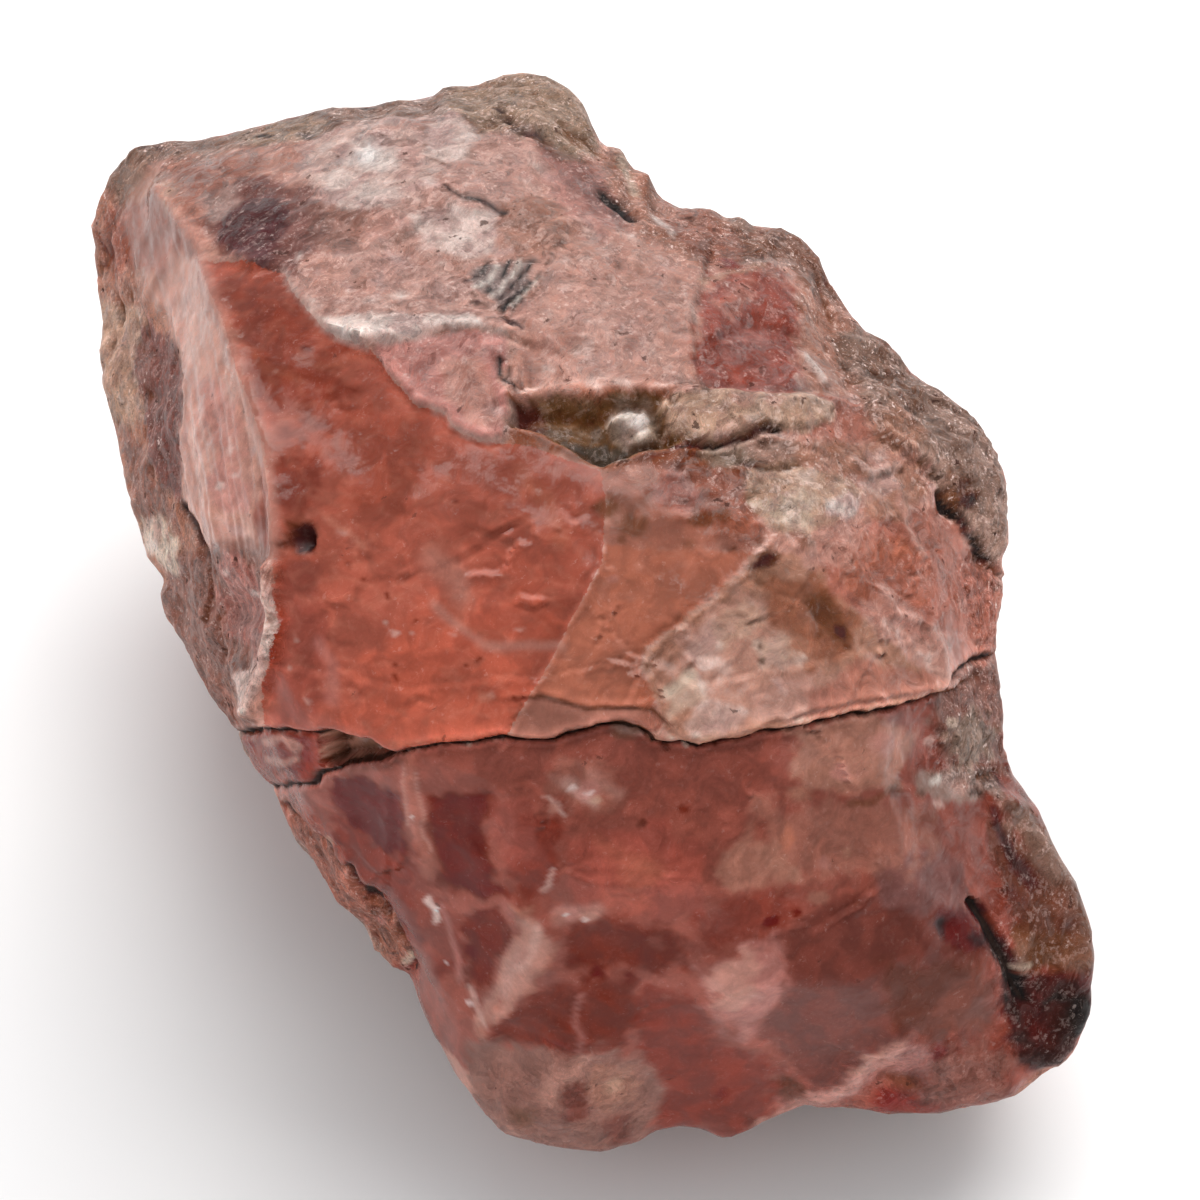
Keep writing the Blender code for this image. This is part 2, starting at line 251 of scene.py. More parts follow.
def flakes(points, size, salt):
    """Height of flat, randomly tilted flakes, about -1..1; neighbours meet along a crease."""
    p = points / size
    home = np.floor(p).astype(np.int64)
    near = np.full(len(p), 1e9)
    next_near = np.full(len(p), 1e9)
    high = np.zeros(len(p))
    next_high = np.zeros(len(p))
    for dx in (-1, 0, 1):
        for dy in (-1, 0, 1):
            for dz in (-1, 0, 1):
                cell = home + np.array((dx, dy, dz))
                seat = cell + np.stack([scatter(cell, salt + k) for k in (1, 2, 3)], axis=1)
                lean = np.stack([scatter(cell, salt + k) - 0.5 for k in (4, 5, 6)], axis=1)
                away = p - seat
                gap = np.linalg.norm(away, axis=1)
                rise = (away * lean).sum(axis=1) * 1.6 + (scatter(cell, salt + 7) - 0.5) * 0.9
                closer = gap < near
                second = ~closer & (gap < next_near)
                next_high = np.where(closer, high, np.where(second, rise, next_high))
                next_near = np.where(closer, near, np.where(second, gap, next_near))
                high = np.where(closer, rise, high)
                near = np.where(closer, gap, near)
    blend = np.clip((next_near - near) / 0.22, 0.0, 1.0)
    blend = 0.5 + 0.5 * blend * blend * (3.0 - 2.0 * blend)
    return high * blend + next_high * (1.0 - blend)


def turned(points):
    """Turn from the sheet's directions to the stone's own axes."""
    c, s = math.cos(SHEET_TURN), math.sin(SHEET_TURN)
    out = points.copy()
    out[:, 0] = points[:, 0] * c - points[:, 1] * s
    out[:, 1] = points[:, 0] * s + points[:, 1] * c
    return out


def pull_forward(ways, towards, gain):
    """Crowd unit directions towards one way, keeping every triangle's shape."""
    towards = towards / np.linalg.norm(towards)
    along = np.clip(ways @ towards, -1.0, 1.0)
    across = ways - along[:, None] * towards
    size = np.linalg.norm(across, axis=1)
    across = across / np.maximum(size, 1e-9)[:, None]
    angle = 2.0 * np.arctan(np.tan(np.arccos(along) / 2.0) / gain)
    return towards * np.cos(angle)[:, None] + across * np.sin(angle)[:, None]


def edges_of(triangles):
    pairs = np.concatenate([triangles[:, (0, 1)], triangles[:, (1, 2)], triangles[:, (2, 0)]])
    pairs.sort(axis=1)
    keys = np.unique(pairs[:, 0] * 10000000 + pairs[:, 1])
    return np.stack([keys // 10000000, keys % 10000000], axis=1)


class Neighbours:
    """Averages a value over each point's neighbours."""

    def __init__(self, triangles, count):
        e = edges_of(triangles)
        self.a = np.concatenate([e[:, 0], e[:, 1]])
        self.b = np.concatenate([e[:, 1], e[:, 0]])
        self.count = count
        self.share = np.bincount(self.a, minlength=count).astype(float)

    def mean(self, v):
        return np.bincount(self.a, weights=v[self.b], minlength=self.count) / self.share

    def blur(self, v, times):
        for _ in range(times):
            v = 0.5 * v + 0.5 * self.mean(v)
        return v


def normals_of(points, triangles):
    n = np.cross(points[triangles[:, 1]] - points[triangles[:, 0]],
                 points[triangles[:, 2]] - points[triangles[:, 0]])
    out = np.zeros_like(points)
    for k in range(3):
        for axis in range(3):
            out[:, axis] += np.bincount(triangles[:, k], weights=n[:, axis], minlength=len(points))
    return out / np.maximum(np.linalg.norm(out, axis=1), 1e-12)[:, None]


# ---------------------------------------------------------------- noise
def smooth_noise(p, salt):
    """Gradient noise, about -1..1, at each point (in cells)."""
    home = np.floor(p).astype(np.int64)
    f = p - home
    u = f * f * f * (f * (f * 6.0 - 15.0) + 10.0)
    total = np.zeros(len(p))
    for dx in (0, 1):
        for dy in (0, 1):
            for dz in (0, 1):
                cell = home + np.array((dx, dy, dz))
                weight = (np.where(dx, u[:, 0], 1 - u[:, 0]) * np.where(dy, u[:, 1], 1 - u[:, 1])
                          * np.where(dz, u[:, 2], 1 - u[:, 2]))
                g = [scatter(cell, salt + k) * 2.0 - 1.0 for k in (1, 2, 3)]
                total += weight * (g[0] * (f[:, 0] - dx) + g[1] * (f[:, 1] - dy) + g[2] * (f[:, 2] - dz))
    return total * 1.6


def cloud(p, octaves, salt, fall=0.5):
    """Several sizes of noise together, about -1..1."""
    total, size, weight = np.zeros(len(p)), 1.0, 1.0
    for k in range(octaves):
        total += smooth_noise(p * size + 7.3 * k, salt + 31 * k) * weight
        size *= 2.03
        weight *= fall
    return total


def step(v, low, high):
    t = np.clip((v - low) / (high - low), 0.0, 1.0)
    return t * t * (3.0 - 2.0 * t)


# ---------------------------------------------------------------- patches on the oblique sheet
def seen_at(points):
    """Where points, in the sheet's directions, lie on the oblique sheet."""
    eye, sight, right, up = sheet_frame()
    reach = SHEET_UNITS / 2.0 / math.tan(SHEET_SPREAD / 2.0)
    q = points - eye
    z = q @ sight
    return (SHEET_UNITS / 2.0 + reach * (q @ right) / z, SHEET_UNITS / 2.0 - reach * (q @ up) / z, z)


FAR = 60.0


def to_line(x, y, line, closed=False):
    """Distance from each place to a line of points, and which side of it the place is on."""
    pts = np.array(line, dtype=float)
    if closed:
        pts = np.vstack([pts, pts[:1]])
    near = np.full(len(x), FAR)
    side = np.ones(len(x))
    low, high = pts.min(axis=0) - FAR, pts.max(axis=0) + FAR
    box = np.nonzero((x > low[0]) & (x < high[0]) & (y > low[1]) & (y < high[1]))[0]
    bx, by = x[box], y[box]
    n, s = near[box], side[box]
    for (ax, ay), (cx, cy) in zip(pts[:-1], pts[1:]):
        dx, dy = cx - ax, cy - ay
        length = max(dx * dx + dy * dy, 1e-9)
        t = np.clip(((bx - ax) * dx + (by - ay) * dy) / length, 0.0, 1.0)
        ex, ey = bx - ax - t * dx, by - ay - t * dy
        d = np.hypot(ex, ey)
        closer = d < n
        n = np.where(closer, d, n)
        s = np.where(closer, np.sign((bx - ax) * dy - (by - ay) * dx), s)
    near[box], side[box] = n, s
    return near, side


def within(x, y, shape):
    """Distance inside a closed shape, negative outside it, at most FAR."""
    near, _ = to_line(x, y, shape, closed=True)
    pts = np.array(shape, dtype=float)
    odd = np.zeros(len(x), dtype=bool)
    low, high = pts.min(axis=0), pts.max(axis=0)
    box = np.nonzero((x >= low[0]) & (x <= high[0]) & (y >= low[1]) & (y <= high[1]))[0]
    bx, by = x[box], y[box]
    o = odd[box]
    for (ax, ay), (cx, cy) in zip(pts, np.roll(pts, -1, axis=0)):
        if ay == cy:
            continue
        cross = ((ay > by) != (cy > by)) & (bx < (cx - ax) * (by - ay) / (cy - ay) + ax)
        o = o ^ cross
    odd[box] = o
    return np.where(odd, near, -near)


def stone(divisions):
    """Points, in the sheet's own directions, and triangles of the whole stone."""
    ways, triangles = blank(divisions)
    ways = ways * np.array(BLANK_PROPORTIONS)
    ways /= np.linalg.norm(ways, axis=1)[:, None]
    heart = np.array(HEART)
    reach = cage_reach(ways)
    points = heart + ways * reach[:, None]
    reach = reach + flakes(points, CHIP_SIZE, 11) * CHIP_DEPTH
    reach = reach + flakes(points, SMALL_CHIP_SIZE, 57) * SMALL_CHIP_DEPTH
    falling = ways[:, 2] < -1e-6
    floor_reach = np.where(falling, heart[2] / np.where(falling, -ways[:, 2], 1.0), 1e9)
    reach = np.minimum(reach, floor_reach)
    points = heart + ways * reach[:, None]
    points[reach >= floor_reach - 1e-9, 2] = 0.0
    return points, triangles


# ---------------------------------------------------------------- breaks, ledges and hollows
# Lines and patches lie on the oblique sheet, in its units; heights are in millimetres.
FROST_EDGE = [(262, 268), (285, 272), (293, 290), (302, 302), (313, 315), (326, 330), (341, 340),
              (369, 349), (390, 350), (411, 344), (430, 338), (453, 332), (481, 331), (505, 336)]
LOBE_EDGE = [(371, 351), (382, 362), (390, 376), (408, 394), (418, 408), (434, 412), (447, 416),
             (453, 427), (466, 436), (481, 441), (503, 441), (509, 422), (513, 402)]
HOLLOW_LIP = [(511, 400), (530, 394), (560, 390), (585, 393), (612, 389), (640, 388), (664, 396)]
LONG_CRACK = [(237, 733), (262, 729), (290, 728), (316, 733), (335, 732), (357, 739), (378, 744),
              (398, 752), (416, 750), (436, 746), (458, 744), (481, 741), (509, 738), (530, 741),
              (557, 739), (578, 731), (596, 727), (622, 723), (640, 726), (650, 735), (653, 742),
              (668, 744), (681, 741), (697, 747), (708, 742), (717, 740), (737, 738), (765, 731),
              (798, 727), (840, 716), (874, 710), (896, 706), (918, 698), (933, 692)]
CRACK_END = [(933, 692), (941, 678), (964, 664), (983, 656)]
LOWER_CRACK = [(262, 784), (280, 787), (300, 785), (312, 784), (321, 773), (338, 768), (357, 763),
               (376, 760), (394, 754)]
WEDGE = [(316, 733), (335, 733), (357, 740), (380, 746), (396, 751), (391, 758), (372, 760),
         (357, 763), (338, 767), (325, 765), (321, 752)]
TAN_LEFT = [(604, 540), (602, 562), (588, 590), (570, 622), (557, 649), (543, 675), (529, 697),
            (518, 716), (508, 735)]
TAN_FOOT = [(529, 697), (548, 696), (568, 702), (591, 707), (622, 706), (653, 706), (662, 716)]
TAN_TOP = [(640, 668), (647, 649), (665, 634), (686, 621), (708, 602), (722, 588), (738, 572), (752, 556)]
BLOCK_FOOT = [(661, 700), (664, 718), (680, 732), (697, 740), (717, 736), (737, 730), (765, 722),
              (800, 712), (840, 703), (880, 697), (918, 690)]
FLUTE_LEFT = [(176, 330), (186, 372), (189, 402), (184, 450), (186, 480), (188, 505), (198, 530),
              (206, 550)]
ROSE_LEFT = [(706, 262), (700, 290), (692, 322), (694, 352), (700, 388)]
ROSE_FOOT = [(696, 390), (730, 391), (770, 392), (812, 390), (836, 396)]
SHOULDER = [(838, 318), (852, 345), (860, 372), (866, 402), (872, 432), (900, 455), (922, 470),
            (938, 480), (946, 502), (958, 527), (974, 545), (992, 563)]
FOOT_CRACK = [(288, 805), (300, 818), (315, 831), (330, 846), (342, 862), (354, 868), (368, 893),
              (382, 908), (396, 924), (402, 944), (412, 974)]
KNOB_CRACK = [(976, 906), (988, 925), (994, 940), (1003, 956), (1012, 981), (1022, 996)]
RIDGE_LINE = [(165, 200), (178, 214), (186, 225), (197, 244), (203, 256), (211, 287), (228, 323),
              (242, 371), (250, 393), (256, 413), (268, 447), (272, 480), (277, 510), (278, 545),
              (277, 575), (273, 610), (268, 640), (260, 680), (248, 712)]
BLADE = [(277, 571), (277, 598), (276, 621), (272, 652), (268, 683), (258, 708)]
STREAK = [(522, 906), (536, 918), (544, 940), (536, 962), (520, 985), (504, 1008), (490, 1030)]
HEM = [(752, 1122), (784, 1102), (813, 1084), (841, 1073), (863, 1050), (897, 1036)]
KNOB_RIM = [(1012, 800), (1032, 822), (1046, 850), (1060, 880), (1072, 915), (1076, 950)]
BLEB = [(604, 408), (612, 398), (630, 393), (650, 397), (664, 412), (668, 430), (655, 444),
        (636, 440), (618, 426)]
HOLLOW = [(507, 424), (512, 402), (530, 395), (560, 391), (590, 394), (640, 390), (662, 398),
          (674, 416), (684, 437), (664, 446), (640, 450), (622, 456), (602, 463), (578, 452),
          (560, 442), (536, 432), (518, 428)]
CREAM_LIP = [(672, 396), (700, 392), (740, 393), (780, 396), (812, 394), (836, 406), (830, 422),
             (808, 432), (780, 430), (752, 434), (716, 440), (690, 438), (676, 424)]

LEDGES = [  # line, the side that stands up (1: to the right of the line's way), height, reach
    (FROST_EDGE, -1, 0.36, 42), (LOBE_EDGE, -1, 0.45, 36), (HOLLOW_LIP, -1, 0.35, 24),
    (LONG_CRACK, -1, 0.62, 34), (CRACK_END, -1, 0.3, 26), (LOWER_CRACK, -1, 0.35, 24),
    (TAN_LEFT, -1, 0.22, 40), (TAN_FOOT, -1, 0.25, 24), (TAN_TOP, 1, 0.28, 44),
    (BLOCK_FOOT, -1, 0.35, 26), (FLUTE_LEFT, -1, 0.40, 26), (ROSE_LEFT, 1, 0.28, 30),
    (ROSE_FOOT, 1, 0.35, 26), (SHOULDER, -1, 0.60, 46), (FOOT_CRACK, -1, 0.35, 20),
    (KNOB_CRACK, -1, 0.3, 34),
]
CRACKS = [  # line, depth, half width
    (LONG_CRACK, 0.50, 3.2), (CRACK_END, 0.4, 3.6), (LOWER_CRACK, 0.40, 3.2),
    (FOOT_CRACK, 0.5, 4.2), (KNOB_CRACK, 0.7, 5.5),
    ([(183, 506), (192, 518), (198, 532), (206, 554)], 0.4, 3.8),
    ([(672, 441), (700, 442), (720, 441), (745, 437), (779, 428)], 0.20, 3.2),
    ([(740, 461), (760, 470), (782, 470), (800, 463)], 0.12, 3.2),
    ([(940, 494), (953, 515), (966, 532), (980, 548), (994, 562)], 0.45, 3.6),
    ([(498, 110), (508, 120), (516, 130), (525, 137), (545, 146)], 0.35, 3.6),
    ([(600, 188), (610, 198), (622, 206), (634, 218)], 0.4, 3.8),
    ([(450, 191), (470, 196), (488, 204), (505, 212)], 0.18, 3.2),
    ([(498, 362), (500, 374), (508, 384), (517, 387)], 0.22, 3.2),
    ([(985, 780), (1000, 778), (1016, 790), (1026, 800)], 0.5, 5.0),
    ([(352, 866), (364, 884), (378, 896)], 0.5, 4.5),
]
RIDGES = [  # line, height, half width
    (RIDGE_LINE, 0.42, 8.0), (BLADE, 0.65, 8.0), (STREAK, 0.45, 16.0), (HEM, 0.7, 18.0),
    (KNOB_RIM, 0.9, 18.0),
    ([(854, 462), (868, 475), (885, 470)], 0.3, 5.0),
    ([(896, 484), (902, 527), (919, 555)], 0.25, 6.0),
    ([(878, 586), (888, 614), (912, 619)], 0.3, 6.0),
    ([(925, 628), (932, 655), (938, 680)], 0.35, 7.0),
    ([(656, 684), (672, 674), (690, 662)], 0.12, 7.0),
    ([(410, 770), (412, 800), (420, 835)], 0.2, 12.0),
    ([(335, 332), (362, 344), (392, 342)], 0.25, 8.0),
    ([(810, 350), (818, 365), (828, 376)], 0.3, 6.0),
    ([(160, 198), (150, 225), (146, 262), (150, 300)], 0.35, 14.0),
]
MOUNDS = [  # across, down, radius, height
    (575, 1096, 62, 1.3), (735, 992, 36, 0.5), (528, 118, 50, 0.6), (960, 450, 46, 0.7),
    (985, 520, 30, 0.5), (1052, 905, 40, 0.5), (790, 500, 46, 0.35), (840, 505, 20, 0.35),
    (700, 705, 40, 0.5), (780, 640, 60, 0.4), (455, 140, 24, 0.35), (366, 330, 30, 0.3),
    (440, 395, 40, 0.25), (760, 412, 18, 0.35), (720, 410, 16, 0.3), (795, 408, 16, 0.3),
    (690, 411, 14, 0.25), (742, 222, 14, 0.3), (640, 172, 16, 0.3), (965, 740, 26, 0.4),
    (920, 1075, 34, 0.3), (560, 850, 60, 0.3), (860, 745, 36, 0.25), (152, 545, 22, 0.4),
    (240, 608, 30, -0.9), (222, 650, 16, -0.5), (760, 330, 46, -0.35), (304, 540, 12, -0.9),
    (300, 470, 26, -0.25), (880, 580, 30, -0.25), (955, 500, 18, -0.5), (825, 612, 26, -0.45),
    (372, 830, 34, -0.35), (455, 835, 34, -0.35), (600, 950, 46, -0.35), (1045, 1020, 26, -0.6),
    (946, 929, 12, -0.5), (560, 1015, 46, -0.3), (500, 275, 26, -0.25), (600, 445, 26, -0.7),
    (905, 780, 18, -0.3), (395, 945, 16, -0.4), (890, 1078, 18, -0.3), (150, 390, 22, -0.3),
    (795, 470, 24, -0.3), (720, 455, 24, -0.3), (470, 930, 40, -0.25),
]
# How broken each part of the surface is: 0 glassy, 1 crust.
BROKEN = [
    ([(150, 150), (300, 112), (450, 85), (520, 70), (600, 100), (650, 165), (760, 215),
      (840, 280), (910, 360), (960, 470), (955, 560), (935, 690), (780, 735), (640, 735),
      (640, 650), (745, 560), (600, 462), (505, 445), (400, 390), (341, 340), (290, 288),
      (205, 255), (165, 200)], 0.50, 16),
    ([(95, 170), (150, 132), (300, 100), (445, 78), (530, 65), (600, 90), (604, 150), (560, 152),
      (500, 140), (450, 112), (300, 138), (200, 156), (140, 180), (110, 215)], 0.85, 14),
    ([(560, 150), (610, 132), (665, 165), (700, 200), (790, 225), (830, 262), (835, 300),
      (800, 270), (700, 262), (640, 235), (600, 195)], 0.95, 14),
    ([(830, 285), (870, 330), (915, 365), (985, 425), (1020, 490), (1015, 580), (990, 568),
      (945, 505), (905, 465), (868, 432), (855, 372), (800, 300)], 1.0, 14),
    ([(80, 200), (120, 190), (150, 300), (185, 340), (190, 400), (184, 450), (190, 510),
      (210, 552), (206, 600), (240, 700), (250, 745), (220, 740), (150, 600), (110, 450)], 0.85, 14),
    ([(190, 560), (228, 548), (285, 560), (285, 640), (262, 730), (236, 735), (205, 680),
      (160, 590)], 0.75, 12),
    ([(960, 560), (1010, 560), (1010, 660), (1020, 770), (1000, 800), (925, 780), (935, 700),
      (975, 650), (950, 600)], 0.85, 14),
    ([(640, 665), (690, 620), (745, 562), (830, 560), (860, 620), (930, 660), (930, 695),
      (800, 722), (717, 740), (662, 735)], 0.34, 16),
    ([(670, 392), (840, 392), (850, 440), (860, 520), (800, 540), (745, 520), (700, 470),
      (640, 462), (672, 430)], 0.62, 12),
    ([(235, 725), (320, 735), (330, 766), (312, 786), (262, 786)], 0.40, 10),
    ([(270, 790), (320, 815), (350, 862), (402, 925), (418, 985), (380, 970), (300, 850)], 0.8, 12),
    ([(470, 1060), (560, 1035), (650, 1060), (665, 1120), (600, 1160), (520, 1145), (465, 1100)],
     0.42, 20),
    ([(985, 790), (1045, 800), (1100, 940), (1095, 1020), (1050, 1075), (1000, 1060), (985, 960)],
     0.55, 20),
    ([(740, 1130), (800, 1075), (900, 1020), (1000, 1040), (1015, 1100), (870, 1118), (800, 1108)],
     0.45, 18),
    ([(480, 740), (640, 740), (900, 712), (935, 760), (930, 900), (780, 900), (640, 900),
      (520, 860)], 0.24, 30),
    ([(196, 262), (240, 372), (262, 464), (254, 517), (206, 548), (186, 503), (190, 400),
      (176, 330), (160, 280)], 0.30, 10),
]


def rough_of(x, y, points, facing):
    """How broken the surface is at each point, front patches over a mottled hidden side."""
    mm = points * 1000.0
    front = np.full(len(x), 0.12)
    for shape, value, soft in BROKEN:
        mask = step(within(x, y, shape), -soft, soft)
        front = front * (1 - mask) + value * mask
    hidden = 0.62 + 0.55 * cloud(mm / 16.0, 3, 901)
    hidden = np.clip(hidden, 0.15, 1.0)
    shown = step(facing, -0.12, 0.10)
    return front * shown + hidden * (1 - shown)


def seen_relief(x, y):
    """Relief in millimetres from the lines and patches of the sheet."""
    h = np.zeros(len(x))
    for line, stands, height, reach in LEDGES:
        d, side = to_line(x, y, line)
        s = -side * stands * d
        up = step(s, -3.0, 4.0)
        fall = np.exp(-np.maximum(s, 0.0) / reach) * (d < FAR)
        low = np.exp(-np.maximum(-s, 0.0) / (reach * 0.7)) * (d < FAR)
        h += height * up * fall * 0.75 - height * (1 - up) * low * 0.25
    for line, depth, half in CRACKS:
        d, _ = to_line(x, y, line)
        h -= depth * np.exp(-(d / half) ** 2)
    for line, height, half in RIDGES:
        d, _ = to_line(x, y, line)
        h += height * np.exp(-(d / half) ** 2)
    for ax, ay, r, height in MOUNDS:
        d2 = ((x - ax) ** 2 + (y - ay) ** 2) / (r * r)
        h += height * np.exp(-d2 * 1.3) * (d2 < 6)
    wedge = within(x, y, WEDGE)
    h -= 1.9 * step(wedge, -1.5, 5.0)
    hollow = within(x, y, HOLLOW)
    h -= 1.5 * step(hollow, -2.0, 12.0)
    bleb = within(x, y, BLEB)
    h += 1.0 * step(bleb, -2.0, 16.0)
    lip = within(x, y, CREAM_LIP)
    h += 0.35 * step(lip, -2.0, 8.0)
    return h


def fit_outline(points, x, y, z, facing):
    """Move points across the sheet so that the stone's outline there is OUTLINE."""
    middle = np.array((585.0, 620.0))
    dx, dy = x - middle[0], y - middle[1]
    turn, size = np.arctan2(dy, dx), np.hypot(dx, dy)
    bins = 720
    spot = ((turn + math.pi) / (2 * math.pi) * bins).astype(int) % bins
    most = np.zeros(bins)
    np.maximum.at(most, spot, size)
    wanted = np.zeros(bins)
    pts = np.array(OUTLINE, dtype=float) - middle
    for k in range(bins):
        a = (k + 0.5) / bins * 2 * math.pi - math.pi
        way = np.array((math.cos(a), math.sin(a)))
        best = 0.0
        for p, q in zip(pts, np.roll(pts, -1, axis=0)):
            m = np.array([[way[0], p[0] - q[0]], [way[1], p[1] - q[1]]])
            det = m[0, 0] * m[1, 1] - m[0, 1] * m[1, 0]
            if abs(det) < 1e-9:
                continue
            t = (p[0] * m[1, 1] - m[0, 1] * p[1]) / det
            u = (m[0, 0] * p[1] - p[0] * m[1, 0]) / det
            if t > 0 and -1e-6 <= u <= 1 + 1e-6:
                best = max(best, t)
        wanted[k] = best
    # The widest point in each narrow sector, filled where a sector is empty.
    for k in range(bins):
        if most[k] == 0:
            most[k] = max(most[k - 1], most[(k + 1) % bins])
    smooth = np.copy(most)
    for _ in range(2):
        smooth = np.maximum(smooth, 0.5 * (np.roll(smooth, 1) + np.roll(smooth, -1)))
    ratio = wanted / smooth
    # Behind the rim only a smooth part of the change is taken, or it would leave bands there.
    spread = np.array([np.roll(ratio, k) for k in range(-14, 15)]).mean(axis=0)
    spread = np.array([np.roll(spread, k) for k in range(-8, 9)]).mean(axis=0)
    place = (turn + math.pi) / (2 * math.pi) * bins - 0.5
    k0 = np.floor(place).astype(int)
    t = place - k0
    r = ratio[k0 % bins] * (1 - t) + ratio[(k0 + 1) % bins] * t
    r_soft = spread[k0 % bins] * (1 - t) + spread[(k0 + 1) % bins] * t
    behind = step(-facing, 0.10, 0.45)
    r = r * (1 - behind) + r_soft * behind
    edge = smooth[k0 % bins] * (1 - t) + smooth[(k0 + 1) % bins] * t
    share = np.clip(size / edge, 0, 1)
    factor = 1 + (r - 1) * share ** 10
    eye, sight, right, up = sheet_frame()
    reach = SHEET_UNITS / 2.0 / math.tan(SHEET_SPREAD / 2.0)
    out = points + (right * (dx * (factor - 1) / reach * z)[:, None]
                    - up * (dy * (factor - 1) / reach * z)[:, None])
    return out


def make_stone():
    heart = np.array(HEART)
    eye, sight, right, up = sheet_frame()
    balls, triangles = blank(FINE_DIVISIONS)
    towards = -sight * np.array(BLANK_PROPORTIONS) ** -1
    balls = pull_forward(balls, towards, 1.5)
    ways = balls * np.array(BLANK_PROPORTIONS)
    ways /= np.linalg.norm(ways, axis=1)[:, None]
    around = Neighbours(triangles, len(ways))
    reach = cage_reach(ways)
    reach = 1.0 / around.blur(1.0 / reach, 16)
    base = heart + ways * reach[:, None]
    x, y, z = seen_at(base)
    normal = normals_of(base, triangles)
    if (normal * ways).sum() < 0:
        triangles = triangles[:, ::-1]
        normal = -normal
    to_eye = eye - base
    to_eye /= np.linalg.norm(to_eye, axis=1)[:, None]
    facing = (normal * to_eye).sum(axis=1)
    mm = base * 1000.0

    # Patches and lines are torn a little, as broken mineral is.
    tear_x = 5.0 * cloud(mm / 3.2, 3, 301)
    tear_y = 5.0 * cloud(mm / 3.2, 3, 347)
    tx, ty = x + tear_x, y + tear_y
    small_x = x + 2.4 * cloud(mm / 1.5, 2, 401)
    small_y = y + 2.4 * cloud(mm / 1.5, 2, 447)
    rough = rough_of(tx, ty, base, facing)
    shown = step(facing, -0.10, 0.12)

    h = flakes(base, CHIP_SIZE, 11) * CHIP_DEPTH * 1000.0 * (0.35 + 0.75 * rough)
    h += flakes(base, SMALL_CHIP_SIZE, 57) * SMALL_CHIP_DEPTH * 1000.0 * (0.10 + 1.15 * rough)
    h += seen_relief(small_x, small_y) * shown
    bent = base + 0.0006 * np.stack([cloud(mm / 2.6, 2, 501 + 9 * k) for k in range(3)], axis=1)
    h += flakes(bent, 0.0021, 91) * 0.20 * (0.02 + 0.98 * rough)
    h += flakes(bent, 0.0011, 133) * 0.11 * np.clip(rough * 1.25 - 0.12, 0, 1)
    h += cloud(mm / 5.0, 3, 551) * 0.10 * (0.3 + 0.7 * rough)
    h += cloud(mm / 0.9, 2, 577) * 0.045 * np.clip(rough * 1.2 - 0.1, 0.02, 1)
    # Shallow shell-like ripples over the glassy faces.
    h += (1 - rough) * 0.06 * smooth_noise(mm / np.array((2.2, 5.0, 3.0)), 611)

    # Fine growth grooves on the steep left side, running up and down it.
    across = (x - 0.16 * (y - 400.0)) + 5.0 * smooth_noise(mm / 9.0, 631)
    flank = step(within(tx, ty, [(88, 190), (160, 195), (205, 258), (245, 380), (280, 500),
                                 (280, 600), (262, 715), (235, 735), (190, 690), (150, 590),
                                 (100, 400)]), -8, 10) * shown
    groove = np.abs(smooth_noise(np.stack([across / 9.0, y / 240.0, 0 * x], axis=1), 641))
    groove2 = smooth_noise(np.stack([across / 4.6, y / 150.0, 0 * x + 5], axis=1), 643)
    h += flank * (0.26 * (0.35 - groove) + 0.09 * groove2)

    reach = reach + h * 0.001
    points = heart + ways * reach[:, None]
    x2, y2, z2 = seen_at(points)
    points = fit_outline(points, x2, y2, z2, facing)
    # Flat natural resting face.
    low = points[:, 2] < 0.00035
    points[low, 2] = 0.0
    points[:, 2] = np.maximum(points[:, 2], 0.0)
    return dict(points=points, base=base, triangles=triangles, x=tx, y=ty, sx=small_x, sy=small_y,
                rx=x, ry=y, rough=rough, facing=facing, shown=shown, h=h, around=around, mm=mm,
                flank=flank, groove=groove, groove2=groove2, ways=ways)


# ---------------------------------------------------------------- colours of the minerals, and of painted highlights, glow and shade
def tone(r, g, b):
    """A display colour, 0 to 255, as the linear values that a shader takes."""
    c = np.array((r, g, b)) / 255.0
    return np.where(c <= 0.04045, c / 12.92, ((c + 0.055) / 1.055) ** 2.4)


CORAL = tone(168, 93, 78)
CORAL_BRIGHT = tone(180, 95, 77)
CORAL_DARK = tone(138, 70, 56)
CORAL_MILK = tone(202, 134, 114)
SALMON = tone(168, 104, 85)
MAROON = tone(138, 80, 70)
MAROON_DEEP = tone(91, 34, 25)
KNOB_BROWN = tone(114, 78, 68)
LILAC = tone(164, 127, 122)
MAROON_MID = tone(118, 54, 45)
ROSE = tone(167, 108, 94)
ROSE_DEEP = tone(146, 79, 69)
ROSE_DUSTY = tone(178, 124, 116)
PINK = tone(186, 138, 124)
PINK_PALE = tone(187, 143, 131)
# frost colour, also used for painted glints on the glassy face
FROST_AND_GLINT = tone(199, 167, 157)
# frost white, also used for a painted highlight on the front face
FROST_WHITE_AND_HIGHLIGHT = tone(222, 202, 194)
# white of frost flecks, and also the white of painted sheen, painted glints and painted highlights
SNOW_AND_HIGHLIGHT = tone(240, 230, 226)
TAN = tone(164, 118, 102)
TAN_PALE = tone(166, 121, 103)
CREAM = tone(184, 150, 130)
# cream white, also used for small painted highlights
CREAM_WHITE_AND_HIGHLIGHT = tone(202, 180, 162)
CRUST = tone(148, 119, 107)
CRUST_PALE = tone(154, 132, 122)
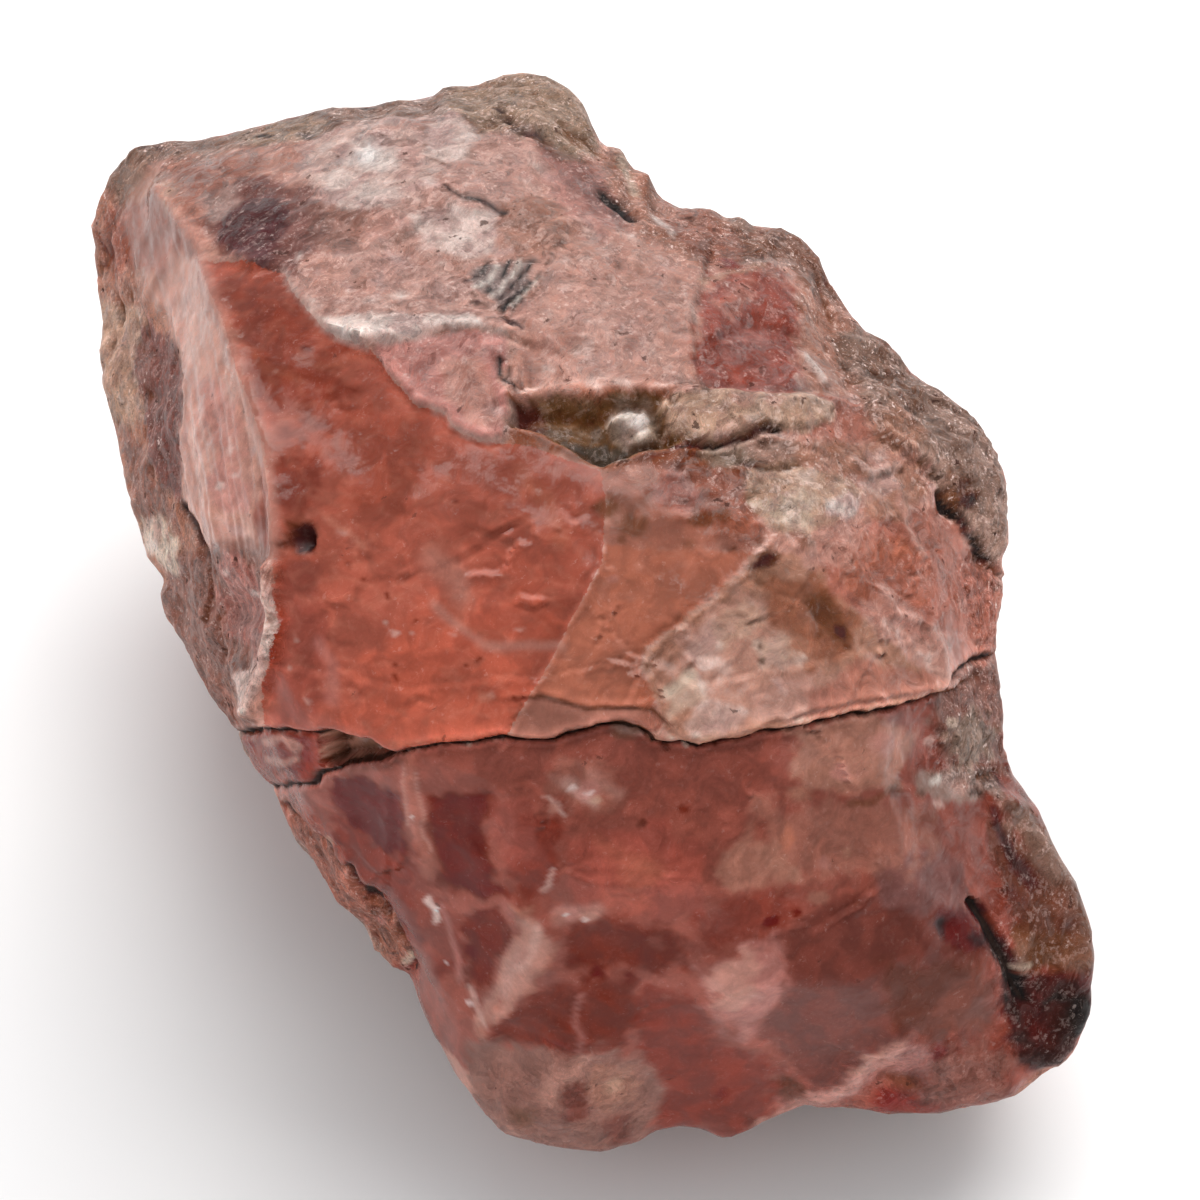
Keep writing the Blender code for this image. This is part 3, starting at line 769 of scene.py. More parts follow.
# dark crust, also used as painted shade on small faces that lean away from the light
CRUST_DARK_AND_SHADE = tone(114, 82, 68)
IRON = tone(106, 68, 50)
IRON_DARK = tone(74, 46, 34)
PITCH = tone(40, 24, 18)
LAVENDER = tone(120, 84, 80)
VIOLET_GREY = tone(90, 58, 60)
PLUM = tone(110, 64, 57)
QUARTZ = tone(166, 142, 126)
QUARTZ_DARK = tone(96, 84, 76)
# pale quartz, also used for a painted highlight on the quartz bleb
QUARTZ_PALE_AND_HIGHLIGHT = tone(222, 208, 198)
MOSS_GREY = tone(148, 132, 118)
STEEL = tone(118, 110, 109)
DUSK = tone(134, 98, 89)
BROWN_ROSE = tone(152, 102, 89)
# painted glow: light coming through the stone, painted into its colour
GLOW = tone(187, 116, 92)
RUST_TAN = tone(142, 88, 68)
SAND = tone(160, 132, 114)
UMBER = tone(126, 96, 76)

GLASS_FACE = [(199, 262), (222, 262), (250, 266), (286, 274), (293, 291), (302, 303), (313, 316), (326, 331),
              (341, 341), (369, 350), (382, 362), (390, 377), (408, 395), (418, 409), (434, 413), (447, 417),
              (453, 428), (466, 437), (482, 442), (503, 443), (530, 446), (560, 456), (600, 466), (606, 500),
              (604, 540), (602, 562), (588, 590), (570, 622), (557, 649), (543, 675), (529, 697), (518, 716),
              (508, 736), (481, 741), (458, 744), (436, 746), (416, 750), (396, 751), (378, 744), (357, 739),
              (335, 732), (316, 733), (290, 728), (268, 726), (269, 700), (276, 650), (281, 620), (282, 575),
              (277, 510), (268, 447), (256, 413), (242, 371), (228, 323), (211, 287)]
# Patches seen inside the glassy face: shape, colour, strength, softness, tearing.
GLASS_PATCHES = [
    ([(210, 275), (290, 285), (330, 345), (360, 400), (300, 430), (255, 400), (235, 340)], CORAL_DARK, 0.75, 34, 2),
    ([(375, 650), (440, 600), (520, 590), (560, 620), (545, 672), (505, 733), (440, 744), (396, 748),
      (350, 720)], CORAL_BRIGHT, 0.85, 40, 2),
    ([(500, 450), (600, 470), (600, 560), (560, 640), (500, 600), (470, 520)], CORAL_DARK, 0.25, 34, 2),
    ([(350, 400), (420, 420), (440, 470), (400, 520), (350, 500), (330, 450)], CORAL_DARK, 0.55, 26, 2),
    ([(250, 296), (330, 336), (350, 400), (290, 420), (252, 370)], MAROON_MID, 0.35, 30, 2),
    ([(273, 453), (318, 456), (322, 486), (300, 520), (276, 500)], MAROON_MID, 0.62, 7, 1),
    ([(286, 560), (318, 570), (330, 640), (320, 720), (280, 724), (268, 690), (278, 620)], ROSE_DEEP, 0.7, 12, 2),
]
# Patches: shape, colour, strength, softness, tearing (0 none, 1 small, 2 large).
PATCHES = [
    # -- ground colours of the large faces
    ([(80, 130), (600, 60), (1110, 480), (1010, 700), (640, 745), (240, 740), (60, 420)], PINK, 1.0, 10, 1),
    ([(225, 726), (320, 735), (400, 754), (510, 740), (600, 728), (690, 746), (840, 716), (935, 692),
      (985, 656), (1020, 740), (1120, 900), (1110, 1100), (600, 1180), (380, 990)], MAROON, 1.0, 3, 1),
    ([(150, 160), (300, 120), (450, 95), (520, 80), (600, 140), (680, 215), (720, 300), (700, 392),
      (600, 392), (512, 398), (480, 441), (400, 390), (341, 340), (290, 286), (205, 252)], PINK, 0.9, 14, 1),
    # -- left flank
    ([(85, 190), (120, 150), (165, 180), (205, 260), (220, 320), (200, 420), (190, 520), (215, 600),
      (250, 735), (220, 730), (150, 600), (100, 420)], TAN, 1.0, 8, 1),
    ([(108, 205), (165, 200), (186, 225), (203, 258), (210, 300), (170, 306), (120, 290), (104, 250)],
     MAROON, 0.6, 12, 2),
    ([(114, 284), (148, 276), (172, 290), (168, 318), (138, 326), (112, 312)], TAN, 0.8, 10, 3),
    ([(108, 194), (125, 172), (142, 158), (152, 162), (136, 180), (118, 198)], CREAM, 0.65, 6, 3),
    ([(163, 194), (178, 190), (190, 204), (190, 222), (182, 226), (172, 208)], CREAM, 0.6, 5, 3),
    ([(122, 322), (146, 318), (150, 352), (146, 398), (128, 404), (118, 360)], ROSE_DUSTY, 0.5, 8, 3),
    ([(95, 300), (140, 310), (150, 360), (140, 420), (112, 430), (98, 370)], CREAM, 0.8, 8, 2),
    ([(134, 325), (172, 332), (188, 392), (186, 452), (184, 505), (160, 492), (142, 430), (130, 370)],
     LAVENDER, 0.85, 7, 2),
    ([(118, 430), (140, 440), (165, 500), (180, 540), (150, 520), (128, 490)], DUSK, 0.8, 7, 3),
    ([(176, 252), (204, 262), (226, 326), (242, 372), (262, 464), (256, 500), (252, 518), (234, 520),
      (214, 516), (206, 548), (194, 520), (186, 503), (183, 452), (191, 402), (182, 350), (160, 300)],
     PINK, 1.0, 5, 1),
    ([(200, 380), (226, 385), (240, 430), (244, 464), (222, 455), (204, 430)], ROSE_DUSTY, 0.6, 12, 1),
    ([(214, 462), (240, 470), (252, 490), (246, 512), (222, 512), (208, 490)], ROSE_DUSTY, 0.7, 8, 1),
    ([(262, 464), (270, 468), (280, 520), (283, 600), (276, 640), (268, 600), (262, 540), (254, 516)],
     MAROON, 0.85, 5, 1),
    ([(206, 548), (236, 538), (272, 545), (282, 580), (276, 640), (258, 660), (236, 690), (216, 670),
      (205, 610)], DUSK, 0.9, 7, 2),
    ([(212, 560), (236, 556), (258, 572), (262, 612), (246, 646), (226, 640), (212, 600)], ROSE_DUSTY, 0.6, 9, 3),
    ([(164, 552), (206, 552), (212, 600), (222, 650), (232, 700), (245, 735), (224, 722), (198, 676),
      (168, 620), (160, 590)], DUSK, 0.9, 6, 2),
    ([(140, 520), (158, 514), (172, 538), (174, 574), (160, 572), (146, 548)], CREAM_WHITE_AND_HIGHLIGHT, 0.85, 5, 2),
    ([(278, 574), (282, 600), (281, 626), (277, 654), (270, 680), (264, 704), (256, 724), (242, 716), (231, 684),
      (230, 672), (246, 669), (257, 656), (265, 640), (268, 620), (270, 596)], FROST_AND_GLINT, 1.0, 3, 1),
    ([(206, 690), (240, 705), (262, 722), (250, 742), (226, 722)], DUSK, 0.8, 6, 2),
    # -- frosted top
    ([(300, 140), (345, 120), (450, 108), (520, 118), (545, 190), (500, 215), (470, 246), (400, 262),
      (380, 300), (330, 300), (300, 285), (312, 262), (345, 250), (385, 232), (380, 208), (330, 208),
      (300, 190)], PINK_PALE, 0.85, 10, 2),
    ([(312, 140), (350, 128), (430, 132), (446, 160), (430, 190), (385, 206), (330, 205), (306, 180)],
     FROST_AND_GLINT, 0.85, 12, 2),
    ([(345, 146), (372, 140), (396, 150), (390, 172), (360, 176), (342, 164)], FROST_WHITE_AND_HIGHLIGHT, 0.9, 10, 3),
    ([(410, 214), (460, 200), (500, 216), (496, 246), (460, 250), (425, 240)], FROST_WHITE_AND_HIGHLIGHT, 0.6, 9, 3),
    ([(318, 178), (360, 182), (402, 196), (384, 212), (340, 208), (314, 198)], FROST_WHITE_AND_HIGHLIGHT, 0.55, 10, 3),
    ([(296, 150), (322, 140), (336, 160), (322, 180), (300, 172)], FROST_AND_GLINT, 0.7, 9, 3),
    ([(396, 132), (420, 140), (416, 176), (398, 186), (388, 160)], PINK_PALE, 0.7, 10, 3),
    ([(330, 284), (372, 270), (420, 280), (440, 302), (400, 316), (346, 312)], FROST_AND_GLINT, 0.6, 10, 3),
    ([(430, 292), (462, 286), (480, 306), (462, 322), (434, 316)], FROST_WHITE_AND_HIGHLIGHT, 0.5, 9, 3),
    ([(520, 196), (572, 196), (598, 222), (570, 246), (520, 240)], TAN, 0.5, 12, 3),
    ([(545, 290), (600, 270), (640, 290), (632, 330), (572, 340)], FROST_AND_GLINT, 0.45, 14, 3),
    ([(600, 330), (650, 322), (672, 352), (640, 376), (600, 366)], PINK_PALE, 0.6, 12, 3),
    ([(520, 340), (560, 330), (580, 356), (560, 380), (524, 372)], PINK_PALE, 0.6, 12, 3),
    ([(462, 262), (480, 252), (506, 256), (532, 262), (538, 280), (522, 300), (506, 310), (492, 292),
      (468, 286)], STEEL, 0.75, 6, 3),
    ([(290, 280), (312, 262), (350, 252), (420, 262), (470, 280), (490, 300), (505, 330), (481, 331),
      (453, 332), (430, 338), (411, 344), (390, 350), (369, 349), (341, 340), (326, 330), (313, 315),
      (302, 302), (292, 290)], PINK_PALE, 0.95, 3, 1),
    ([(318, 318), (345, 322), (390, 316), (420, 322), (470, 318), (486, 330), (430, 337), (411, 343),
      (390, 349), (369, 348), (341, 338)], FROST_WHITE_AND_HIGHLIGHT, 0.8, 5, 2),
    ([(302, 268), (330, 262), (372, 270), (380, 290), (340, 300), (310, 290)], PINK, 0.7, 10, 2),
    ([(371, 351), (411, 346), (453, 334), (505, 337), (508, 360), (500, 385), (512, 402), (509, 422),
      (503, 441), (481, 441), (466, 436), (453, 427), (447, 416), (434, 412), (418, 408), (408, 394),
      (390, 376), (382, 362)], ROSE_DUSTY, 0.95, 3, 1),
    ([(440, 370), (480, 360), (500, 385), (500, 425), (470, 425), (452, 405)], PINK, 0.7, 10, 2),
    ([(205, 205), (235, 180), (275, 182), (310, 196), (326, 220), (318, 248), (300, 280), (262, 272),
      (225, 252), (205, 235)], LAVENDER, 0.85, 10, 3),
    ([(232, 208), (268, 194), (290, 212), (286, 244), (266, 266), (230, 246)], VIOLET_GREY, 0.85, 9, 3),
    ([(208, 206), (224, 196), (240, 204), (234, 222), (216, 228), (206, 218)], FROST_AND_GLINT, 0.5, 7, 3),
    ([(170, 172), (225, 158), (262, 166), (230, 186), (204, 206), (204, 240), (186, 224)], BROWN_ROSE, 0.8, 12, 2),
    ([(306, 213), (340, 211), (372, 216), (376, 236), (350, 248), (312, 246)], DUSK, 0.7, 8, 3),
    ([(512, 330), (545, 285), (575, 262), (640, 236), (690, 262), (696, 310), (690, 360), (700, 390),
      (640, 390), (585, 393), (545, 392), (512, 384)], PINK, 0.9, 12, 2),
    ([(560, 300), (640, 290), (660, 340), (620, 376), (540, 372)], PINK_PALE, 0.6, 20, 2),
    ([(498, 203), (545, 196), (572, 210), (568, 250), (520, 256), (500, 240)], TAN, 0.85, 7, 1),
    ([(540, 150), (600, 160), (632, 215), (600, 240), (570, 220), (548, 190)], ROSE_DUSTY, 0.6, 14, 2),
    ([(110, 180), (140, 146), (210, 136), (300, 112), (445, 84), (470, 92), (455, 112), (350, 128),
      (300, 138), (230, 152), (165, 166), (120, 205)], CRUST, 0.9, 6, 2),
    ([(238, 132), (300, 118), (330, 122), (310, 140), (250, 146)], SAND, 0.8, 7, 2),
    ([(440, 100), (470, 84), (520, 72), (560, 82), (592, 112), (600, 148), (570, 160), (520, 140),
      (470, 122)], SAND, 0.95, 8, 2),
    ([(428, 122), (455, 114), (476, 128), (470, 156), (444, 164), (424, 146)], FROST_WHITE_AND_HIGHLIGHT, 0.6, 5, 2),
    ([(520, 130), (560, 150), (600, 175), (640, 210), (630, 225), (590, 200), (545, 165)], LAVENDER, 0.55, 9, 2),
    ([(600, 150), (632, 150), (652, 180), (660, 205), (700, 212), (740, 225), (768, 258), (700, 268),
      (640, 236), (612, 190)], TAN, 0.9, 8, 2),
    ([(652, 205), (700, 212), (740, 232), (765, 262), (705, 266), (668, 240)], BROWN_ROSE, 0.7, 8, 2),
    ([(726, 212), (745, 214), (758, 230), (742, 236), (728, 226)], CRUST, 0.8, 4, 1),
    # -- rose window and right crust
    ([(712, 276), (740, 268), (772, 276), (796, 292), (804, 322), (800, 360), (808, 386), (770, 389),
      (735, 386), (712, 372), (700, 350), (697, 318)], ROSE_DEEP, 0.95, 12, 3),
    ([(720, 300), (764, 292), (786, 310), (776, 352), (740, 366), (712, 344)], MAROON, 0.4, 18, 3),
    ([(722, 282), (750, 276), (760, 290), (738, 300), (720, 296)], PINK, 0.4, 10, 3),
    ([(742, 318), (768, 314), (774, 328), (756, 338), (742, 332)], ROSE_DUSTY, 0.5, 10, 3),
    ([(728, 378), (760, 372), (790, 378), (784, 390), (740, 390)], ROSE_DUSTY, 0.6, 6, 3),
    ([(740, 236), (800, 232), (828, 262), (846, 306), (800, 290), (776, 264), (742, 262)],
     CRUST_DARK_AND_SHADE, 0.75, 6, 2),
    ([(800, 290), (846, 306), (866, 336), (900, 358), (880, 372), (846, 396), (818, 394), (806, 350)],
     TAN, 0.85, 8, 2),
    ([(838, 322), (866, 334), (902, 358), (945, 392), (988, 432), (1008, 482), (1012, 545), (1000, 566),
      (975, 547), (946, 502), (922, 470), (900, 455), (870, 432), (862, 385)], CRUST, 1.0, 6, 2),
    ([(868, 408), (890, 404), (912, 418), (910, 450), (888, 458), (868, 440)], TAN_PALE, 0.75, 9, 2),
    ([(846, 346), (880, 352), (908, 376), (930, 400), (915, 420), (880, 392)], CRUST_DARK_AND_SHADE, 0.55, 10, 2),
    ([(942, 474), (968, 484), (970, 506), (952, 512), (940, 500)], IRON, 0.75, 6, 2),
    ([(820, 394), (862, 396), (868, 440), (836, 446), (806, 436)], ROSE, 0.8, 8, 2),
    # -- middle band
    ([(503, 443), (512, 400), (560, 391), (664, 392), (700, 440), (800, 470), (760, 520), (700, 520),
      (606, 505), (600, 466), (560, 456)], RUST_TAN, 0.9, 8, 2),
    ([(507, 424), (512, 402), (530, 395), (560, 391), (590, 394), (640, 390), (662, 398), (674, 416),
      (684, 437), (664, 446), (640, 450), (622, 456), (602, 463), (578, 452), (560, 442), (536, 432)],
     UMBER, 1.0, 4, 1),
    ([(508, 404), (532, 396), (546, 402), (536, 420), (512, 428)], IRON, 0.8, 5, 1),
    ([(560, 430), (600, 424), (634, 434), (628, 456), (600, 462), (576, 450)], QUARTZ_DARK, 0.9, 5, 1),
    ([(604, 408), (612, 398), (630, 393), (650, 397), (664, 412), (668, 430), (655, 444), (636, 440),
      (618, 426)], QUARTZ, 0.95, 4, 1),
    # painted highlight on the quartz bleb
    ([(612, 404), (636, 404), (652, 420), (648, 432), (628, 424)], QUARTZ_PALE_AND_HIGHLIGHT, 0.6, 8, 1),
    ([(666, 400), (700, 393), (740, 394), (780, 396), (812, 394), (836, 406), (830, 422), (808, 432),
      (780, 430), (752, 434), (716, 440), (690, 438), (674, 424)], CREAM, 0.95, 4, 2),
    ([(700, 442), (760, 436), (800, 440), (806, 462), (760, 470), (720, 460)], CRUST, 0.8, 6, 2),
    ([(745, 468), (800, 464), (848, 484), (860, 508), (836, 522), (800, 536), (766, 526), (746, 500)],
     CREAM, 0.9, 6, 2),
    ([(752, 500), (790, 488), (812, 500), (800, 528), (772, 524)], CREAM_WHITE_AND_HIGHLIGHT, 0.6, 7, 3),
    ([(818, 500), (846, 498), (858, 510), (838, 520), (820, 514)], FROST_WHITE_AND_HIGHLIGHT, 0.8, 5, 2),
    ([(600, 466), (640, 458), (700, 462), (745, 470), (748, 505), (768, 530), (752, 554), (700, 552),
      (640, 552), (604, 545), (606, 500)], BROWN_ROSE, 0.95, 7, 2),
    ([(640, 486), (690, 478), (716, 496), (690, 516), (650, 512)], ROSE_DUSTY, 0.55, 9, 3),
    ([(700, 520), (740, 510), (760, 534), (730, 548)], SALMON, 0.6, 8, 3),
    ([(586, 500), (612, 494), (640, 508), (634, 530), (606, 524)], IRON, 0.32, 7, 3),
    ([(616, 516), (680, 510), (724, 530), (700, 556), (640, 556), (612, 546)], SALMON, 0.5, 12, 3),
    ([(560, 470), (600, 468), (606, 500), (580, 506), (556, 492)], ROSE_DUSTY, 0.7, 9, 2),
    ([(628, 462), (658, 464), (660, 482), (634, 486)], PINK, 0.75, 7, 2),
    # -- salmon plane, grey-tan band, cream block
    ([(604, 545), (650, 550), (700, 550), (752, 553), (738, 572), (722, 588), (708, 602), (686, 621),
      (665, 634), (647, 649), (640, 668), (652, 690), (654, 706), (622, 706), (591, 707), (568, 702),
      (548, 696), (529, 697), (543, 675), (557, 649), (570, 622), (588, 590), (602, 562)], SALMON, 1.0, 2.5, 0),
    ([(620, 560), (690, 556), (700, 590), (650, 630), (600, 640), (590, 600)], SALMON, 0.6, 22, 2),
    ([(575, 650), (640, 650), (646, 700), (560, 695)], SALMON, 0.6, 16, 2),
    ([(529, 697), (548, 696), (568, 702), (591, 707), (622, 706), (653, 706), (663, 718), (650, 735),
      (622, 724), (596, 728), (578, 732), (557, 739), (530, 741), (509, 738), (518, 716)],
     BROWN_ROSE, 1.0, 2.5, 0),
    ([(752, 555), (790, 552), (830, 570), (855, 610), (900, 655), (935, 690), (896, 706), (840, 716),
      (798, 727), (765, 731), (737, 738), (717, 740), (697, 746), (681, 741), (664, 725), (656, 700),
      (640, 668), (647, 649), (665, 634), (686, 621), (722, 588)], TAN_PALE, 1.0, 4, 1),
    ([(660, 640), (700, 622), (720, 640), (690, 668), (656, 690), (644, 672)], TAN, 0.6, 9, 2),
    ([(668, 690), (730, 672), (800, 690), (790, 720), (720, 738), (680, 726)], TAN_PALE, 0.7, 12, 3),
    ([(676, 640), (730, 590), (772, 600), (800, 650), (850, 680), (800, 712), (720, 726), (664, 704)],
     PINK_PALE, 0.42, 14, 2),
    ([(656, 682), (692, 660), (708, 674), (688, 700), (662, 708)], CREAM_WHITE_AND_HIGHLIGHT, 0.45, 9, 3),
    ([(690, 636), (716, 618), (732, 634), (708, 656), (692, 654)], FROST_AND_GLINT, 0.45, 8, 3),
    ([(672, 712), (712, 692), (742, 706), (718, 734), (684, 730)], FROST_AND_GLINT, 0.55, 8, 3),
    ([(746, 690), (800, 672), (828, 696), (790, 716), (752, 712)], PINK_PALE, 0.5, 9, 3),
    ([(716, 620), (750, 596), (772, 612), (748, 640), (722, 642)], CREAM, 0.55, 8, 3),
    ([(752, 640), (790, 632), (806, 654), (776, 668), (756, 662)], CREAM_WHITE_AND_HIGHLIGHT, 0.4, 8, 3),
    ([(770, 585), (820, 575), (850, 610), (846, 650), (800, 660), (770, 630)], RUST_TAN, 0.75, 10, 3),
    ([(800, 600), (822, 592), (840, 612), (850, 640), (836, 644), (812, 622)], IRON, 0.7, 7, 2),
    ([(745, 560), (770, 550), (776, 572), (756, 588), (740, 580)], CRUST_DARK_AND_SHADE, 0.65, 7, 2),
    ([(800, 690), (860, 660), (925, 672), (930, 690), (870, 708), (800, 724)], ROSE, 0.75, 10, 2),
    # -- rose face at the right
    ([(812, 545), (850, 528), (900, 512), (945, 510), (975, 550), (995, 575), (996, 640), (985, 656),
      (941, 678), (920, 640), (880, 620), (850, 612), (826, 585)], ROSE, 1.0, 8, 2),
    ([(838, 545), (896, 530), (930, 560), (920, 605), (870, 600), (840, 580)], SALMON, 0.8, 10, 3),
    ([(876, 556), (920, 552), (928, 585), (905, 606), (878, 590)], ROSE, 0.6, 9, 3),
    ([(900, 505), (940, 508), (958, 540), (930, 560), (905, 540)], BROWN_ROSE, 0.6, 10, 2),
    ([(860, 470), (905, 465), (930, 490), (900, 520), (862, 522)], TAN_PALE, 0.8, 10, 2),
    ([(800, 540), (836, 524), (862, 536), (846, 562), (812, 566)], PINK_PALE, 0.55, 7, 3),
    ([(856, 476), (884, 470), (900, 488), (880, 504), (860, 498)], FROST_AND_GLINT, 0.5, 6, 3),
    ([(860, 600), (884, 588), (912, 612), (904, 640), (876, 632)], PINK_PALE, 0.5, 7, 3),
    ([(908, 630), (936, 622), (950, 650), (934, 672), (914, 658)], PINK_PALE, 0.5, 7, 3),
    ([(960, 560), (986, 566), (992, 600), (972, 606), (958, 586)], ROSE_DUSTY, 0.5, 7, 3),
    ([(700, 440), (740, 446), (746, 462), (716, 466), (700, 456)], MOSS_GREY, 0.5, 6, 3),
    ([(800, 440), (866, 446), (870, 470), (830, 486), (800, 464)], TAN_PALE, 0.8, 9, 2),
    ([(940, 545), (975, 548), (1004, 570), (1004, 610), (996, 655), (965, 664), (950, 600)],
     ROSE, 0.8, 9, 2),
    ([(936, 690), (964, 664), (996, 656), (1000, 690), (1006, 745), (1014, 776), (975, 782), (940, 760),
      (928, 720)], DUSK, 0.95, 6, 2),
    ([(942, 716), (975, 712), (1000, 735), (1004, 768), (960, 762), (940, 742)], MOSS_GREY, 0.55, 10, 3),
    ([(918, 776), (950, 770), (1005, 778), (1000, 800), (940, 802), (920, 792)], CRUST_PALE, 0.75, 7, 2),
    # -- small facet between the two cracks
    ([(240, 733), (290, 729), (316, 734), (322, 752), (326, 766), (312, 784), (280, 787), (258, 772)],
     MAROON_MID, 0.85, 3, 1),
    ([(316, 733), (335, 733), (357, 740), (380, 746), (396, 751), (391, 758), (372, 760), (357, 763),
      (338, 767), (325, 765), (321, 752)], TAN, 1.0, 3, 0),
    # -- front face below the long crack
    ([(330, 770), (396, 754), (510, 742), (640, 732), (700, 748), (900, 712), (930, 760), (900, 800),
      (700, 800), (500, 790), (420, 790), (330, 792)], MAROON, 0.9, 10, 2),
    ([(560, 760), (620, 770), (625, 810), (570, 815), (548, 790)], BROWN_ROSE, 0.5, 12, 2),
    ([(790, 725), (880, 715), (915, 740), (900, 785), (840, 800), (800, 770)], TAN, 0.75, 12, 3),
    ([(326, 790), (400, 784), (412, 806), (412, 862), (440, 900), (470, 960), (440, 980), (402, 940),
      (372, 890), (340, 850)], MAROON_MID, 0.9, 9, 3),
    ([(330, 791), (346, 785), (398, 785), (411, 803), (409, 862), (382, 852), (348, 830)], MAROON_DEEP, 0.9, 7, 3),
    ([(424, 792), (488, 789), (484, 840), (482, 862), (499, 878), (486, 905), (440, 890), (427, 860)],
     MAROON_DEEP, 0.85, 11, 3),
    ([(400, 764), (424, 766), (426, 838), (412, 850), (404, 806)], MAROON, 0.5, 8, 3),
    ([(462, 924), (500, 905), (512, 940), (490, 985), (466, 990)], MAROON_DEEP, 0.8, 9, 3),
    ([(505, 815), (548, 824), (554, 868), (530, 896), (505, 872)], MAROON_MID, 0.75, 9, 3),
    ([(482, 800), (530, 806), (520, 860), (492, 862)], ROSE_DEEP, 0.6, 8, 3),
    ([(412, 870), (452, 890), (456, 960), (428, 960), (414, 910)], MAROON, 0.55, 8, 2),
    ([(560, 838), (660, 820), (704, 850), (700, 905), (640, 922), (576, 906)], ROSE_DEEP, 0.75, 12, 3),
        ([(596, 888), (640, 886), (650, 912), (610, 922)], CORAL, 0.5, 10, 2),
    ([(560, 930), (640, 930), (690, 950), (690, 976), (640, 984), (566, 968)], MAROON_DEEP, 0.75, 20, 3),
    ([(505, 1000), (560, 985), (640, 990), (652, 1030), (610, 1052), (540, 1048), (498, 1048)],
     MAROON_DEEP, 0.7, 24, 3),
    ([(640, 985), (700, 1000), (716, 1040), (790, 1080), (740, 1128), (660, 1128), (640, 1060)],
     MAROON_MID, 0.85, 14, 2),
    ([(690, 905), (780, 895), (800, 920), (760, 950), (704, 960)], MAROON_MID, 0.6, 18, 3),
    ([(706, 977), (728, 962), (756, 945), (776, 950), (800, 978), (780, 1014), (752, 1034), (718, 1018),
      (705, 994)], ROSE_DUSTY, 0.6, 18, 3),
    ([(708, 980), (728, 964), (750, 954), (756, 976), (744, 1010), (718, 1012)], PINK, 0.6, 10, 3),
    ([(776, 945), (830, 905), (900, 890), (968, 912), (980, 960), (940, 1020), (880, 1045), (810, 1076),
      (764, 1040), (780, 985)], PLUM, 0.95, 10, 3),
    ([(884, 850), (930, 842), (966, 862), (962, 905), (920, 916), (884, 900)], LAVENDER, 0.8, 10, 3),
    ([(760, 800), (830, 800), (930, 800), (940, 850), (870, 870), (800, 884), (760, 850)],
     BROWN_ROSE, 0.75, 24, 3),
    ([(720, 850), (780, 840), (800, 880), (760, 900), (716, 890)], TAN, 0.6, 11, 3),
    ([(938, 905), (985, 908), (992, 945), (955, 955), (932, 930)], MAROON_DEEP, 0.8, 7, 3),
    ([(880, 960), (985, 960), (990, 1030), (930, 1040), (890, 1020)], IRON_DARK, 0.5, 16, 2),
    ([(515, 902), (536, 906), (552, 945), (538, 978), (514, 1008), (496, 1036), (480, 1030), (496, 990),
      (512, 950)], BROWN_ROSE, 0.9, 6, 3),
    ([(470, 1036), (520, 1046), (560, 1040), (640, 1052), (662, 1100), (650, 1132), (600, 1158),
      (520, 1146), (480, 1110)], DUSK, 0.95, 10, 3),
    ([(590, 1060), (630, 1064), (644, 1096), (616, 1110), (590, 1092)], TAN, 0.55, 8, 2),
    ([(560, 1074), (584, 1070), (590, 1100), (566, 1112)], PLUM, 0.75, 6, 2),
    ([(604, 1112), (630, 1112), (634, 1136), (606, 1140)], PLUM, 0.65, 6, 2),
    ([(510, 1098), (536, 1098), (540, 1116), (514, 1120)], CRUST_DARK_AND_SHADE, 0.55, 6, 2),
    ([(754, 1122), (784, 1100), (812, 1082), (842, 1070), (864, 1046), (898, 1032), (890, 1060),
      (850, 1090), (812, 1104), (770, 1124)], PINK, 0.9, 6, 2),
    ([(866, 1104), (880, 1088), (920, 1082), (936, 1100), (924, 1114), (880, 1114)], MAROON_MID, 0.8, 5, 2),
    ([(900, 1046), (960, 1030), (1008, 1046), (1014, 1092), (944, 1110), (900, 1090), (880, 1070)],
     PLUM, 0.85, 10, 2),
    ([(925, 1050), (985, 1040), (1010, 1060), (992, 1092), (938, 1094)], DUSK, 0.5, 12, 3),
    ([(776, 1110), (800, 1086), (838, 1064), (868, 1042), (905, 1028), (926, 1044), (896, 1070), (852, 1092),
      (812, 1106)], ROSE_DUSTY, 0.6, 10, 3),
    ([(1000, 800), (1020, 798), (1045, 826), (1078, 886), (1094, 960), (1060, 966), (1020, 968),
      (1008, 930), (1030, 900), (1046, 880), (1020, 840)], CRUST_DARK_AND_SHADE, 0.9, 9, 2),
    ([(990, 820), (1016, 832), (1046, 868), (1066, 905), (1062, 932), (1036, 934), (1008, 912), (994, 866)],
     KNOB_BROWN, 0.85, 10, 3),
    ([(1000, 806), (1030, 812), (1054, 846), (1062, 880), (1040, 872), (1018, 842)], CRUST, 0.6, 10, 3),
    ([(1010, 944), (1030, 938), (1052, 956), (1030, 972), (1012, 966)], CRUST_DARK_AND_SHADE, 0.7, 6, 2),
    ([(1000, 972), (1050, 970), (1096, 974), (1090, 1012), (1076, 1046), (1040, 1070), (1014, 1062),
      (1004, 1010)], IRON_DARK, 0.95, 9, 2),
    ([(1015, 1000), (1046, 996), (1050, 1030), (1024, 1040)], MAROON_DEEP, 0.6, 8, 2),
    ([(1062, 992), (1092, 984), (1088, 1018), (1066, 1030)], PITCH, 0.7, 7, 2),
    ([(280, 795), (300, 806), (320, 828), (345, 858), (372, 888), (400, 924), (412, 972), (388, 966),
      (366, 932), (326, 886), (300, 850)], BROWN_ROSE, 0.9, 5, 2),
    ([(372, 900), (398, 924), (404, 955), (386, 962), (368, 932)], CRUST_DARK_AND_SHADE, 0.3, 6, 2),
]
